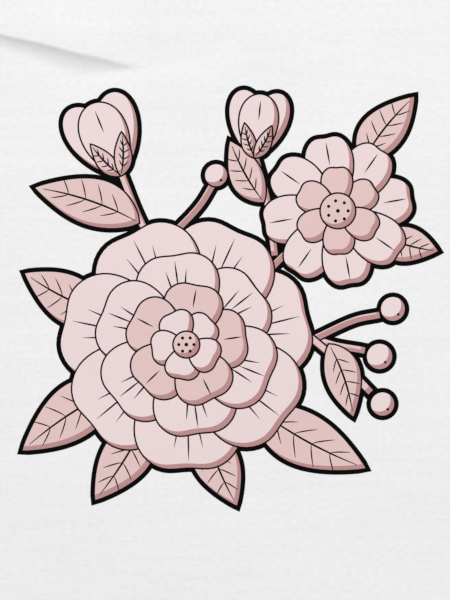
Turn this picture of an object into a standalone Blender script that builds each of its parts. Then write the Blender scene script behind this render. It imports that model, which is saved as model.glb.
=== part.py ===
"""A white short-sleeved T-shirt laid flat on a table: front and back panels, sleeves, a rib collar and neck tape.

Units are metres. X runs across the shirt, Y from the hem up to the collar, and Z up from the table it lies on.
Every pattern piece is an open sheet through the middle of the cloth, and Solidify gives it its thickness.
"""

import math
from typing import NamedTuple

import bpy
import numpy as np
from mathutils import Vector
from mathutils.geometry import delaunay_2d_cdt

# Cut of the shirt, a unisex size L
CHEST_HALF = 0.262
NECK_POINT = (0.093, 0.3537)
SHOULDER_POINT = (0.232, 0.306)
UNDERARM_POINT = (0.262, 0.112)
ARMHOLE_PULLS = ((0.204, 0.250), (0.232, 0.158))
HEM_Y = -0.3676
HEM_DIP = 0.003
SIDE_WAVE = 0.0018
FRONT_NECK_DROP = 0.098
BACK_NECK_DROP = 0.022
FRONT_NECK_SHAPE = 1
BACK_NECK_SHAPE = 2
SLEEVE_TOP_LENGTH = 0.200
SLEEVE_SLOPE = math.radians(31)
CUFF_WIDTH = 0.172
CUFF_TILT = math.radians(28)
RIB_WIDTH = 0.018
RIB_SHOULDER = (0.077, 0.3657)
TAPE_WIDTH = 0.010
TAPE_END_ANGLE = math.radians(23)

# Thickness of the cloth, and the heights that the middle of each layer lies at
CLOTH = 0.0008
RIB_CLOTH = 0.0016
TAPE_CLOTH = 0.0006
BACK_Z = CLOTH / 2
FRONT_Z = 0.0034
BACK_EDGE_Z = 0.00125
FRONT_EDGE_Z = 0.00255
SLEEVE_EDGE_Z = 0.0019
RIB_BACK_Z = 0.00085
TAPE_Z = 0.0014
SEAM_GAP = 0.0005
EDGE_ROLL = 0.005
ROLL_RING = 0.0013

# Sizes of the mesh
EDGE_STEP = 0.016
GRID_STEP = 0.024
SPINE_STEP = 0.013
CLEAR_OF_RING = 0.009
SLEEVE_ROWS = 11
SLEEVE_COLUMNS = 12
SLEEVE_EDGE_SHARES = (0.0, 0.007, 0.027)
RIB_STEPS = 26
TURN_STEPS = 4

# Shape of a fold across its crest: its dip and its foot lie that many times the reach of the steep side away
CREST_ROUND = 0.001
DIP_SHARE = 0.12
DIP_REACHES = 2.6
FOOT_REACHES = 1.7
NECK_FADE = 0.030
HEM_FADE = 0.050
HEM_LEAST = 0.3


class Fold(NamedTuple):
    """A ridge in the top layer. Along its spine it has (x, y, height, reach of its steep right-hand side)."""

    soft_reach: float
    spine: tuple


FOLDS = (
    # The crease of the photograph, from the left armhole across the top of the chest
    Fold(0.040, (
        (-0.262, 0.2500, 0.0000, 0.0040),
        (-0.219, 0.2385, 0.0016, 0.0042),
        (-0.185, 0.2290, 0.0030, 0.0044),
        (-0.151, 0.2200, 0.0033, 0.0046),
        (-0.124, 0.2126, 0.0034, 0.0060),
        (-0.098, 0.2066, 0.0033, 0.0075),
        (-0.084, 0.2025, 0.0029, 0.0065),
        (-0.071, 0.1992, 0.0020, 0.0036),
        (-0.057, 0.1971, 0.0011, 0.0022),
        (-0.034, 0.1985, 0.0004, 0.0022),
        (-0.007, 0.2025, 0.0000, 0.0022),
    )),
    # Drag lines from the shoulders down beside the armholes
    Fold(0.016, (
        (-0.115, 0.330, 0.0000, 0.009), (-0.150, 0.297, 0.0024, 0.009),
        (-0.182, 0.262, 0.0026, 0.009), (-0.203, 0.222, 0.0000, 0.009),
    )),
    Fold(0.015, (
        (0.206, 0.178, 0.0000, 0.009), (0.193, 0.228, 0.0032, 0.009),
        (0.166, 0.275, 0.0028, 0.009), (0.128, 0.322, 0.0000, 0.009),
    )),
    # Drag lines from the underarms into the body
    Fold(0.017, (
        (-0.259, 0.096, 0.0010, 0.008), (-0.226, 0.050, 0.0052, 0.008),
        (-0.197, -0.006, 0.0040, 0.009), (-0.186, -0.066, 0.0000, 0.010),
    )),
    Fold(0.018, (
        (-0.258, 0.020, 0.0008, 0.009), (-0.238, -0.050, 0.0044, 0.010),
        (-0.223, -0.125, 0.0050, 0.010), (-0.217, -0.205, 0.0000, 0.012),
    )),
    Fold(0.017, (
        (0.184, -0.030, 0.0000, 0.010), (0.190, 0.028, 0.0038, 0.009),
        (0.221, 0.074, 0.0054, 0.008), (0.259, 0.099, 0.0010, 0.008),
    )),
    Fold(0.019, (
        (0.205, -0.215, 0.0000, 0.012), (0.218, -0.135, 0.0046, 0.010),
        (0.236, -0.060, 0.0042, 0.010), (0.258, 0.012, 0.0008, 0.009),
    )),
    # Long loose folds above the hem
    Fold(0.022, (
        (-0.250, -0.206, 0.0004, 0.010), (-0.194, -0.248, 0.0050, 0.010),
        (-0.122, -0.276, 0.0046, 0.011), (-0.046, -0.286, 0.0000, 0.012),
    )),
    Fold(0.020, (
        (0.122, -0.352, 0.0003, 0.012), (0.158, -0.300, 0.0046, 0.011),
        (0.208, -0.244, 0.0052, 0.010), (0.252, -0.176, 0.0004, 0.010),
    )),
    Fold(0.018, (
        (0.020, -0.346, 0.0004, 0.014), (0.034, -0.310, 0.0026, 0.013),
        (0.058, -0.268, 0.0022, 0.013), (0.088, -0.236, 0.0000, 0.013),
    )),
    # Folds along the sleeves
    Fold(0.014, (
        (-0.236, 0.168, 0.0004, 0.008), (-0.283, 0.166, 0.0050, 0.008),
        (-0.326, 0.150, 0.0044, 0.008), (-0.364, 0.132, 0.0006, 0.008),
    )),
    Fold(0.013, (
        (-0.244, 0.284, 0.0000, 0.008), (-0.286, 0.256, 0.0028, 0.008),
        (-0.334, 0.226, 0.0030, 0.008), (-0.380, 0.192, 0.0004, 0.008),
    )),
    Fold(0.013, (
        (-0.262, 0.124, 0.0006, 0.007), (-0.290, 0.116, 0.0038, 0.007),
        (-0.322, 0.094, 0.0008, 0.007),
    )),
    Fold(0.014, (
        (0.368, 0.152, 0.0006, 0.008), (0.327, 0.174, 0.0044, 0.008),
        (0.282, 0.186, 0.0052, 0.008), (0.234, 0.176, 0.0004, 0.008),
    )),
    Fold(0.013, (
        (0.366, 0.206, 0.0002, 0.008), (0.330, 0.224, 0.0026, 0.008),
        (0.288, 0.250, 0.0028, 0.008), (0.246, 0.284, 0.0000, 0.008),
    )),
    Fold(0.013, (
        (0.322, 0.088, 0.0008, 0.007), (0.292, 0.114, 0.0040, 0.007),
        (0.262, 0.122, 0.0006, 0.007),
    )),
)

# Long shallow waves of the loose cloth: (waves per metre across, per metre along, phase, height)
WAVES = ((3.1, 5.3, 0.4, 0.00022), (7.4, -2.2, 1.9, 0.00018), (-4.6, 8.9, 3.3, 0.00014))

MATERIALS = {
    # name: (colour, roughness)
    "cotton_jersey": ((0.86, 0.86, 0.86), 0.92),
    "rib_knit": ((0.84, 0.84, 0.84), 0.95),
    "neck_tape": ((0.80, 0.80, 0.80), 0.90),
}


def clear_scene():
    """Removes whatever the scene opened with."""
    for obj in list(bpy.data.objects):
        bpy.data.objects.remove(obj)


def make_material(name):
    """A matte cloth, as MATERIALS lists it."""
    colour, roughness = MATERIALS[name]
    material = bpy.data.materials.new(name)
    material.use_nodes = True
    shader = material.node_tree.nodes["Principled BSDF"]
    shader.inputs["Base Color"].default_value = (*colour, 1.0)
    shader.inputs["Roughness"].default_value = roughness
    shader.inputs["Metallic"].default_value = 0.0
    return material


# Lines in the plane of the shirt


def smooth_line(anchors, steps):
    """A Catmull-Rom curve through the anchors, with so many steps from each to the next."""
    anchors = np.asarray(anchors, float)
    padded = np.vstack([2 * anchors[0] - anchors[1], anchors, 2 * anchors[-1] - anchors[-2]])
    t = np.linspace(0, 1, steps, endpoint=False)[:, None]
    runs = []
    for before, start, end, after in zip(padded, padded[1:], padded[2:], padded[3:]):
        square = 2 * before - 5 * start + 4 * end - after
        cube = 3 * start - before - 3 * end + after
        runs.append(0.5 * (2 * start + (end - before) * t + square * t**2 + cube * t**3))
    return np.vstack([*runs, anchors[-1:]])


def bezier(start, pull_a, pull_b, end, shares):
    """The points of a cubic Bezier curve at the given shares of its parameter."""
    t = np.asarray(shares)[:, None]
    start, pull_a, pull_b, end = (np.asarray(p, float) for p in (start, pull_a, pull_b, end))
    return start * (1 - t) ** 3 + 3 * pull_a * t * (1 - t) ** 2 + 3 * pull_b * t**2 * (1 - t) + end * t**3


def straight(start, end, step=EDGE_STEP):
    """Evenly spaced points from start to end, ends included."""
    start, end = np.asarray(start, float), np.asarray(end, float)
    count = max(1, round(float(np.linalg.norm(end - start)) / step))
    return start + (end - start) * np.linspace(0, 1, count + 1)[:, None]


def moved_aside(line, distance):
    """An open line's points moved to its left by the distance."""
    run = np.gradient(line, axis=0)
    run /= np.linalg.norm(run, axis=1)[:, None]
    return line + distance * np.column_stack([-run[:, 1], run[:, 0]])


def mirrored(points):
    """The same line on the other side of the shirt, run the other way."""
    return (np.asarray(points) * (-1, 1))[::-1]


def sleeve_shares():
    """Where a sleeve's lengthwise lines lie between its folds, closer together where the cloth rolls over."""
    near = np.array(SLEEVE_EDGE_SHARES)
    middle = np.linspace(near[-1], 1 - near[-1], SLEEVE_COLUMNS)[1:-1]
    return np.concatenate([near, middle, 1 - near[::-1]])


def armhole_line():
    """The right armhole seam, from the shoulder down to the underarm."""
    return bezier(SHOULDER_POINT, *ARMHOLE_PULLS, UNDERARM_POINT, sleeve_shares())


def neck_arc(half_width, top_y, drop, shape, angles):
    """An arc that hangs from top_y, where angle 0 is its right end: half an ellipse (shape 1) or a parabola (2)."""
    return np.column_stack([half_width * np.cos(angles), top_y - drop * np.sin(angles) ** shape])


def side_line():
    """The right side from the hem up to the underarm, hanging in a slight wave."""
    line = straight((CHEST_HALF, HEM_Y + HEM_DIP), UNDERARM_POINT)
    run = (line[:, 1] - line[0, 1]) / (line[-1, 1] - line[0, 1])
    line[:, 0] += SIDE_WAVE * np.sin(2 * math.pi * run) * np.sin(math.pi * run)
    return line


def hem_line():
    """The hem from left to right, a little lower in the middle."""
    line = straight((-CHEST_HALF, HEM_Y), (CHEST_HALF, HEM_Y))
    line[:, 1] += HEM_DIP * (line[:, 0] / CHEST_HALF) ** 2
    return line


def cuff_corners():
    """The right cuff's upper and lower corner."""
    along = np.array([math.cos(SLEEVE_SLOPE), -math.sin(SLEEVE_SLOPE)])
    down = np.array([-math.sin(CUFF_TILT), -math.cos(CUFF_TILT)])
    top = np.array(SHOULDER_POINT) + SLEEVE_TOP_LENGTH * along
    return top, top + CUFF_WIDTH * down


def front_seam(steps):
    """The line where the front panel meets the collar, from the left shoulder to the right."""
    angles = np.linspace(math.pi, 0, steps + 1)
    return neck_arc(NECK_POINT[0], NECK_POINT[1], FRONT_NECK_DROP, FRONT_NECK_SHAPE, angles)


def nearest_on(points, line):
    """For each point: the distance to an open line, the segment it is nearest to, and how far along that it is."""
    start, run = line[:-1, :2], np.diff(line[:, :2], axis=0)
    away = points[:, None] - start
    share = np.clip((away * run).sum(2) / np.maximum((run**2).sum(1), 1e-12), 0, 1)
    offset = away - share[..., None] * run
    distance = np.linalg.norm(offset, axis=2)
    segment = distance.argmin(1)
    rows = np.arange(len(points))
    near, along = offset[rows, segment], share[rows, segment]
    side = run[segment, 0] * near[:, 1] - run[segment, 1] * near[:, 0]
    return distance[rows, segment], segment, along, side


def smooth_step(x):
    """0 below 0, 1 above 1, and a smooth rise between."""
    x = np.clip(x, 0, 1)
    return x * x * (3 - 2 * x)


# Heights of the top layer


def fold_height(points, fold):
    """What one fold adds at each point: steep and pinched on its right-hand side, long and soft on its left."""
    spine = smooth_line(fold.spine, 5)
    distance, segment, along, side = nearest_on(points, spine)
    height, steep = (spine[segment, k] * (1 - along) + spine[segment + 1, k] * along for k in (2, 3))
    rounded = np.sqrt(distance**2 + CREST_ROUND**2) - CREST_ROUND
    dip = DIP_SHARE * np.exp(-((2 * distance / (DIP_REACHES * steep) - 2) ** 2))
    profile = np.where(side < 0, np.exp(-rounded / steep) - dip, np.exp(-((distance / fold.soft_reach) ** 2)))
    return np.maximum(height, 0) * profile


def loose_height(points):
    """How far the top layer stands above its resting height. Its folds and waves fade at the collar and hems."""
    points = np.asarray(points, float).reshape(-1, 2)
    height = sum(fold_height(points, fold) for fold in FOLDS)
    for across, along, phase, size in WAVES:
        height = height + size * np.sin(2 * math.pi * (across * points[:, 0] + along * points[:, 1]) + phase)
    cuff = np.array(cuff_corners())
    hems = [(line, HEM_FADE, HEM_LEAST) for line in (hem_line(), cuff, mirrored(cuff))]
    for line, fade, least in [(front_seam(24), NECK_FADE, 0), *hems]:
        height *= least + (1 - least) * smooth_step(nearest_on(points, line)[0] / fade)
    return height


def rolled_edges():
    """Where the top layer curls down to the bottom one: the sides, shoulders and the folds of each sleeve."""
    cuff_top, cuff_low = cuff_corners()
    shoulder = np.array([NECK_POINT, SHOULDER_POINT, cuff_top])
    underarm = np.array([UNDERARM_POINT, cuff_low])
    right = [side_line(), shoulder, underarm]
    return right + [mirrored(line) for line in right]


def curled(points, level, edge_level):
    """Heights that keep to a level and curl to the edge level where the cloth rolls over at a side."""
    points = np.asarray(points, float).reshape(-1, 2)
    edge = np.min([nearest_on(points, line)[0] for line in rolled_edges()], axis=0)
    roll = np.sqrt(1 - (1 - np.clip(edge / EDGE_ROLL, 0, 1)) ** 2)
    return edge_level + (level - edge_level) * roll


def front_z(points, edge_level=FRONT_EDGE_Z):
    """The height of the top layer's middle."""
    return curled(points, FRONT_Z + loose_height(points), edge_level)


def back_z(points, edge_level=BACK_EDGE_Z):
    """The height of the bottom layer's middle."""
    return curled(points, BACK_Z, edge_level)


# Pattern pieces


def add_sheet(name, points, faces, thickness, material, collection):
    """An open sheet as an object, thickened evenly on both sides of it."""
    mesh = bpy.data.meshes.new(name)
    mesh.from_pydata([tuple(p) for p in points], [], faces)
    mesh.materials.append(make_material(material))
    mesh.shade_smooth()
    obj = bpy.data.objects.new(name, mesh)
    collection.objects.link(obj)
    cloth = obj.modifiers.new("cloth", "SOLIDIFY")
    cloth.thickness = thickness
    cloth.offset = 0.0
    return obj


def inside(points, outline):
    """Which points lie in a closed outline: those with an odd number of its edges to their right."""
    start, end = outline, np.roll(outline, -1, axis=0)
    x, y = points[:, None, 0], points[:, None, 1]
    spans = (start[:, 1] > y) != (end[:, 1] > y)
    rise = np.where(end[:, 1] == start[:, 1], 1, end[:, 1] - start[:, 1])
    cross = start[:, 0] + (y - start[:, 1]) * (end[:, 0] - start[:, 0]) / rise
    return (spans & (x < cross)).sum(1) % 2 == 1


def inset(outline, distance):
    """The outline's points moved inwards; it runs anticlockwise."""
    run = np.roll(outline, -1, axis=0) - np.roll(outline, 1, axis=0)
    run /= np.linalg.norm(run, axis=1)[:, None]
    return outline + distance * np.column_stack([-run[:, 1], run[:, 0]])


def spread_out(points, gap):
    """The points in order, without those that come within the gap of one kept before."""
    kept = np.empty((0, 2))
    for point in points:
        if not len(kept) or np.linalg.norm(kept - point, axis=1).min() > gap:
            kept = np.vstack([kept, point])
    return kept


def crest_points():
    """Points along each fold's crest and foot, so that the mesh has edges where the cloth is creased."""
    rows = []
    for fold in FOLDS:
        length = float(np.linalg.norm(np.diff(np.array(fold.spine)[:, :2], axis=0), axis=1).sum())
        steps = max(1, round(length / SPINE_STEP / (len(fold.spine) - 1)))
        spine = smooth_line(fold.spine, steps)
        rows.append(spine[:, :2])
        rows.append(moved_aside(spine[:, :2], -FOOT_REACHES * spine[:, 3:4]))
    return np.vstack(rows)


def grid_points(step):
    """Points in staggered rows all over the shirt."""
    across = np.arange(-CHEST_HALF, CHEST_HALF, step)
    along = np.arange(HEM_Y, NECK_POINT[1], step * math.sqrt(3) / 2)
    xs, ys = np.meshgrid(across, along)
    xs[1::2] += step / 2
    return np.column_stack([xs.ravel(), ys.ravel()])


def fill_panel(name, outline, inner, height, collection):
    """A body panel: its outline filled with triangles through the inner points, then lifted to its height."""
    closed = np.vstack([outline, outline[:1]])
    rings = []
    for distance in (ROLL_RING, EDGE_ROLL):
        ring = inset(outline, distance)
        rings.append(spread_out(ring[nearest_on(ring, closed)[0] > 0.9 * distance], distance))
    inner = inner[inside(inner, outline)]
    inner = inner[nearest_on(inner, closed)[0] > EDGE_ROLL + CLEAR_OF_RING / 2]
    corners = [Vector(p) for p in np.vstack([outline, *rings, spread_out(inner, CLEAR_OF_RING)])]
    flat, _, faces, *_ = delaunay_2d_cdt(corners, [], [list(range(len(outline)))], 1, 1e-7)
    flat = np.array([tuple(p) for p in flat])
    points = np.column_stack([flat, height(flat)])
    return add_sheet(name, points, faces, CLOTH, "cotton_jersey", collection)


def panel_outline(neckline):
    """A body panel's cut, anticlockwise from the left end of the hem; the neckline comes from right to left."""
    armhole = moved_aside(armhole_line(), -SEAM_GAP / 2)
    right = np.vstack([side_line()[:-1], armhole[::-1], straight(SHOULDER_POINT, NECK_POINT)[1:]])
    left = mirrored(right)
    return np.vstack([hem_line()[1:-1], right, neckline[1:-1], left])


def add_front(collection):
    """The front panel, with the deep round neckline."""
    outline = panel_outline(front_seam(22)[::-1] + (0, -SEAM_GAP / 2))
    inner = np.vstack([crest_points(), grid_points(GRID_STEP)])
    return fill_panel("front_panel", outline, inner, front_z, collection)


def add_back(collection):
    """The back panel, which lies flat and carries the rest."""
    angles = np.linspace(0, math.pi, 15)
    neckline = neck_arc(NECK_POINT[0], NECK_POINT[1] - SEAM_GAP / 2, BACK_NECK_DROP, BACK_NECK_SHAPE, angles)
    return fill_panel("back_panel", panel_outline(neckline), grid_points(3 * GRID_STEP), back_z, collection)


def tube_faces(rings, count, flipped=False):
    """Quads between closed rings of so many points each, in the order of their points."""
    faces = []
    for ring in range(rings - 1):
        for column in range(count):
            a, b = ring * count + column, ring * count + (column + 1) % count
            face = (a, b, b + count, a + count)
            faces.append(face[::-1] if flipped else face)
    return faces


def add_sleeve(name, side, collection):
    """A sleeve: a flattened tube from the armhole to the cuff, folded along its top and its underarm."""
    armhole = moved_aside(armhole_line(), SEAM_GAP / 2)
    cuff_top, cuff_low = cuff_corners()
    cuff = cuff_top + (cuff_low - cuff_top) * sleeve_shares()[:, None]
    rings = []
    for share in np.linspace(0, 1, SLEEVE_ROWS + 1):
        row = (armhole + (cuff - armhole) * share) * (side, 1)
        top = np.column_stack([row, front_z(row, SLEEVE_EDGE_Z)])
        bottom = np.column_stack([row, back_z(row, SLEEVE_EDGE_Z)])
        rings.append(np.vstack([top, bottom[-2:0:-1]]))
    faces = tube_faces(len(rings), len(rings[0]), flipped=side < 0)
    return add_sheet(name, np.vstack(rings), faces, CLOTH, "cotton_jersey", collection)


def collar_ring(half_width, top_y, front_drop, back_drop):
    """A closed line round the collar: the front arc, a turn over the shoulder, the back arc and a turn back."""
    front = neck_arc(half_width, top_y, front_drop, FRONT_NECK_SHAPE, np.linspace(math.pi, 0, RIB_STEPS + 1))
    back = neck_arc(half_width, top_y, back_drop, BACK_NECK_SHAPE, np.linspace(0, math.pi, RIB_STEPS // 2 + 1))
    turn = np.linspace(math.pi / 2, -math.pi / 2, TURN_STEPS + 1)[1:-1]
    radius, middle = (FRONT_Z - RIB_BACK_Z) / 2, (FRONT_Z + RIB_BACK_Z) / 2
    y, z = top_y + radius * np.cos(turn), middle + radius * np.sin(turn)
    right = np.column_stack([np.full(len(turn), half_width), y, z])
    front = np.column_stack([front, np.full(len(front), FRONT_Z)])
    back = np.column_stack([back, np.full(len(back), RIB_BACK_Z)])
    return np.vstack([front, right, back, (right * (-1, 1, 1))[::-1]])


def add_collar(collection):
    """The rib collar: one band round the neck, level with the front panel and flat behind the neck."""
    half_width, top_y = NECK_POINT
    rise = RIB_SHOULDER[1] - top_y - RIB_WIDTH
    drops = np.array([FRONT_NECK_DROP, BACK_NECK_DROP])
    seam = collar_ring(half_width - SEAM_GAP, top_y, *(drops - SEAM_GAP))
    free = collar_ring(*RIB_SHOULDER, *(drops + rise))
    rings = [seam + (free - seam) * share for share in (0, 0.5, 1)]
    faces = tube_faces(len(rings), len(seam))
    return add_sheet("collar_rib", np.vstack(rings), faces, RIB_CLOTH, "rib_knit", collection)


def add_tape(collection):
    """The tape over the back neck seam, on the inside of the back panel."""
    angles = np.linspace(TAPE_END_ANGLE, math.pi - TAPE_END_ANGLE, 13)
    upper = neck_arc(NECK_POINT[0], NECK_POINT[1] - SEAM_GAP, BACK_NECK_DROP, BACK_NECK_SHAPE, angles)
    count = len(upper)
    rows = [np.column_stack([line, np.full(count, TAPE_Z)]) for line in (upper, upper - (0, TAPE_WIDTH))]
    faces = [(a, a + 1, a + 1 + count, a + count) for a in range(count - 1)]
    return add_sheet("neck_tape", np.vstack(rows), faces, TAPE_CLOTH, "neck_tape", collection)


def build():
    """Cuts the pattern pieces and lays them where they are sewn."""
    clear_scene()
    collection = bpy.data.collections.new("printed_t_shirt")
    bpy.context.scene.collection.children.link(collection)
    add_back(collection)
    add_front(collection)
    add_sleeve("sleeve_right", 1, collection)
    add_sleeve("sleeve_left", -1, collection)
    add_collar(collection)
    add_tape(collection)


build()
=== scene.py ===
# %% [markdown]
# # A printed T-shirt, laid flat
#
# This lesson dresses the plain solids of a T-shirt as real knitted cotton. A shirt on a table is almost
# flat, so what makes it look like cloth is small: loose folds a few millimetres high, seams that pull the
# cloth into puckers, hems that turn under, a ribbed collar, rows of thread, and the knit itself.
#
# Everything is in metres. X runs across the shirt, Y from the hem up to the collar, and Z up from the
# table.

import math
from typing import NamedTuple

import bpy
import numpy as np
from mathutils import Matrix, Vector
from mathutils.geometry import delaunay_2d_cdt
from mathutils.kdtree import KDTree


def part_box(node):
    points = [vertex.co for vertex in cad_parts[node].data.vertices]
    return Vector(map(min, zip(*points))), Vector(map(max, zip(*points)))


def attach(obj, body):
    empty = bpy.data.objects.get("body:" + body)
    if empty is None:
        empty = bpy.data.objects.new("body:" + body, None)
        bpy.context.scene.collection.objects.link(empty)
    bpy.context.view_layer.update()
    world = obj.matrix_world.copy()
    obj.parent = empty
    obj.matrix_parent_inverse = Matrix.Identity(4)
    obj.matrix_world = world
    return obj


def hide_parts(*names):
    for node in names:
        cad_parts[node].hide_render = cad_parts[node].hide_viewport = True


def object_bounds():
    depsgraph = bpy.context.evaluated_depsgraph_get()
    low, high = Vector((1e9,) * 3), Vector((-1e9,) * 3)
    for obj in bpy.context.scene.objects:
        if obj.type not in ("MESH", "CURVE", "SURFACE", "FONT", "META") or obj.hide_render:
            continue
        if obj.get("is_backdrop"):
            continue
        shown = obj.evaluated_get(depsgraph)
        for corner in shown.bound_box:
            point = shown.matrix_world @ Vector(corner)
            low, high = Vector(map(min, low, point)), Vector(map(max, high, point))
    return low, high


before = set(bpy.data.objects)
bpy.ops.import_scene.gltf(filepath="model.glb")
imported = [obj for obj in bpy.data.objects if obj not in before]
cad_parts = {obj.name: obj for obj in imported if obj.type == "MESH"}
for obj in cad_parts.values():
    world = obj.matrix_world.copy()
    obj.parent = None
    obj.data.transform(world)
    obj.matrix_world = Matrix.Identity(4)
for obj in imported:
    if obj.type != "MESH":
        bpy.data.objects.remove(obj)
cad_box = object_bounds()
print("the model holds", ", ".join(sorted(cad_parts)))

# %% [markdown]
# ## The camera
#
# The photograph looks straight down on the chest, so close that cloth fills it from edge to edge. A camera
# can be placed by eye, but here its height follows from the lens and from the 40 cm of cloth along the
# picture's side, so the scale of the picture is the real one.

# %% Camera
PRINT_CENTRE = (0.0, 0.039)
VIEW_LENGTH = 0.404
LENS = 85.0
SENSOR = 36.0
FRONT_Z = 0.0034


def link(obj):
    """Puts an object in the scene and hands it back."""
    bpy.context.scene.collection.objects.link(obj)
    return obj


def mm(length):
    """A length in millimetres, to print."""
    return round(float(length) * 1000, 2)


lens = bpy.data.cameras.new("camera")
lens.lens = LENS
lens.sensor_width = SENSOR
camera = link(bpy.data.objects.new("camera", lens))
camera.location = (*PRINT_CENTRE, FRONT_Z + VIEW_LENGTH * LENS / SENSOR)
bpy.context.scene.camera = camera
print("the camera stands", mm(camera.location.z), "mm above the table")

# %% [markdown]
# ## Table and light
#
# White cloth shows its shape only by soft shades. Small lamps would give it hard shadows. One large light
# beyond the collar, like a window, comes in low enough to draw the folds, and pale surroundings fill their
# shade.

# %% Table and light
TABLE_GREY = (0.56, 0.57, 0.58, 1)
TABLE_GAP = 0.0001
SURROUNDINGS = (0.92, 0.92, 0.92, 1)
SURROUNDINGS_STRENGTH = 0.615
WINDOW_PLACE = (0.5, 4.2, 3.8)
WINDOW_SIZE = 3.0
WINDOW_POWER = 255


def new_material(name, values):
    """A material whose Principled BSDF has the given values."""
    material = bpy.data.materials.new(name)
    material.use_nodes = True
    for key, value in values.items():
        material.node_tree.nodes["Principled BSDF"].inputs[key].default_value = value
    return material


def paint(obj, material):
    """Gives an object its one material."""
    obj.data.materials.clear()
    obj.data.materials.append(material)


bpy.ops.mesh.primitive_plane_add(size=8, location=(0, 0, -TABLE_GAP))
table = bpy.context.object
table.name = "table"
paint(table, new_material("table", {"Base Color": TABLE_GREY, "Roughness": 0.8}))
table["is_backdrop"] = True

world = bpy.data.worlds.new("surroundings")
world.use_nodes = True
background = world.node_tree.nodes["Background"]
background.inputs["Color"].default_value = SURROUNDINGS
background.inputs["Strength"].default_value = SURROUNDINGS_STRENGTH
bpy.context.scene.world = world

window = bpy.data.lights.new("window", "AREA")
window.size = WINDOW_SIZE
window.energy = WINDOW_POWER
light = link(bpy.data.objects.new("window", window))
light.location = WINDOW_PLACE
light.rotation_euler = (-Vector(WINDOW_PLACE)).to_track_quat("-Z", "Y").to_euler()
bpy.context.scene.view_settings.view_transform = "Standard"
print("the window light is", WINDOW_SIZE, "m wide and", round(light.location.length, 1), "m away")

# %% [markdown]
# ## Lines of a pattern
#
# The shirt is drawn first as lines in the plane of the table, the way a pattern cutter draws it. Such lines
# could be traced as curve objects. Here each is a short formula, because the cloth, the collar and the rows
# of thread are then all measured from the same lines. Only the right half is drawn, and the left is its
# mirror image.

# %% Tools for lines
EDGE_STEP = 0.0022
TURN = 2 * math.pi


def straight(start, end, step=EDGE_STEP):
    """Evenly spaced points from start to end, ends included."""
    start, end = np.asarray(start, float), np.asarray(end, float)
    count = max(1, round(float(np.linalg.norm(end - start)) / step))
    return start + (end - start) * np.linspace(0, 1, count + 1)[:, None]


def unit(vectors):
    """The same directions, each with a length of 1."""
    return vectors / np.maximum(np.linalg.norm(vectors, axis=1), 1e-9)[:, None]


def left_of(line):
    """At each point of an open line, the direction that points to its left."""
    run = unit(np.gradient(line, axis=0))
    return np.column_stack([-run[:, 1], run[:, 0]])


def mirrored(points):
    """The same line on the other side of the shirt, run the other way."""
    return (np.asarray(points) * (-1, 1))[::-1]


def travelled(line):
    """How far along a line each of its points is."""
    return np.concatenate([[0], np.cumsum(np.linalg.norm(np.diff(line, axis=0), axis=1))])


def looped(outline):
    """A closed outline with its first point again at its end."""
    return np.vstack([outline, outline[:1]])


print("an edge gets", len(straight((0, 0), (0.1, 0))) - 1, "steps in 10 cm")

# %% [markdown]
# ## Armhole, side and hem
#
# An armhole on a pattern is one smooth curve, which a cubic Bezier curve draws with two pulls. A side that
# has been worn and washed is not quite straight, so it has a slight wave. The hem hangs a little lower in
# its middle.

# %% Armhole, side and hem
CHEST_HALF = 0.262
NECK_POINT = (0.093, 0.3537)
SHOULDER_POINT = (0.232, 0.306)
UNDERARM_POINT = (0.262, 0.112)
ARMHOLE_PULLS = ((0.204, 0.250), (0.232, 0.158))
HEM_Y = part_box("front_panel")[0][1]
HEM_DIP = 0.003
SIDE_WAVE = 0.0018
# Heights above the hem that need a row of points: both sides of its band and of its two rows of stitches
HEM_LEVELS = (0.002, 0.005, 0.009, 0.013, 0.0165, 0.018, 0.0185, 0.019, 0.0195, 0.020, 0.022, 0.024, 0.0245,
              0.025, 0.0255, 0.026, 0.028)
# Where a sleeve's lengthwise lines lie between its folds, closer together where the cloth rolls over
ROLL_SHARES = np.array([0, 0.0008, 0.003, 0.0065, 0.0115, 0.018, 0.026])
FLAT_SHARES = np.linspace(ROLL_SHARES[-1], 1 - ROLL_SHARES[-1], 92)[1:-1]
SLEEVE_SHARES = np.concatenate([ROLL_SHARES, FLAT_SHARES, 1 - ROLL_SHARES[::-1]])[:, None]


def armhole_line():
    """The right armhole seam, from the shoulder down to the underarm."""
    t = SLEEVE_SHARES
    start, pull_a, pull_b, end = np.array([SHOULDER_POINT, *ARMHOLE_PULLS, UNDERARM_POINT])
    return start * (1 - t) ** 3 + 3 * pull_a * t * (1 - t) ** 2 + 3 * pull_b * t**2 * (1 - t) + end * t**3


def side_line():
    """The right side from the hem up to the underarm, with points at every level of the hem."""
    low = HEM_Y + HEM_DIP
    above = np.linspace(low + HEM_LEVELS[-1], UNDERARM_POINT[1], round((UNDERARM_POINT[1] - low) / EDGE_STEP))
    y = np.concatenate([[low], low + np.array(HEM_LEVELS[:-1]), above])
    run = (y - low) / (y[-1] - low)
    return np.column_stack([CHEST_HALF + SIDE_WAVE * np.sin(TURN * run) * np.sin(math.pi * run), y])


def hem_line(rise=0.0, step=EDGE_STEP):
    """A line from left to right at the given height above the hem."""
    line = straight((-CHEST_HALF, HEM_Y + rise), (CHEST_HALF, HEM_Y + rise), step)
    line[:, 1] += HEM_DIP * (line[:, 0] / CHEST_HALF) ** 2
    return line


ARMHOLE = armhole_line()
ARMHOLES = (ARMHOLE, mirrored(ARMHOLE))
HEM = hem_line()
print("the armhole seam is", mm(travelled(ARMHOLE)[-1]), "mm long")

# %% [markdown]
# ## Sleeve and cuff
#
# A sleeve slopes down from the shoulder, and its cuff is cut square to the arm. The lines across the sleeve
# run parallel to the cuff, so they can be found from how far in from its edge they lie.

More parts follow.
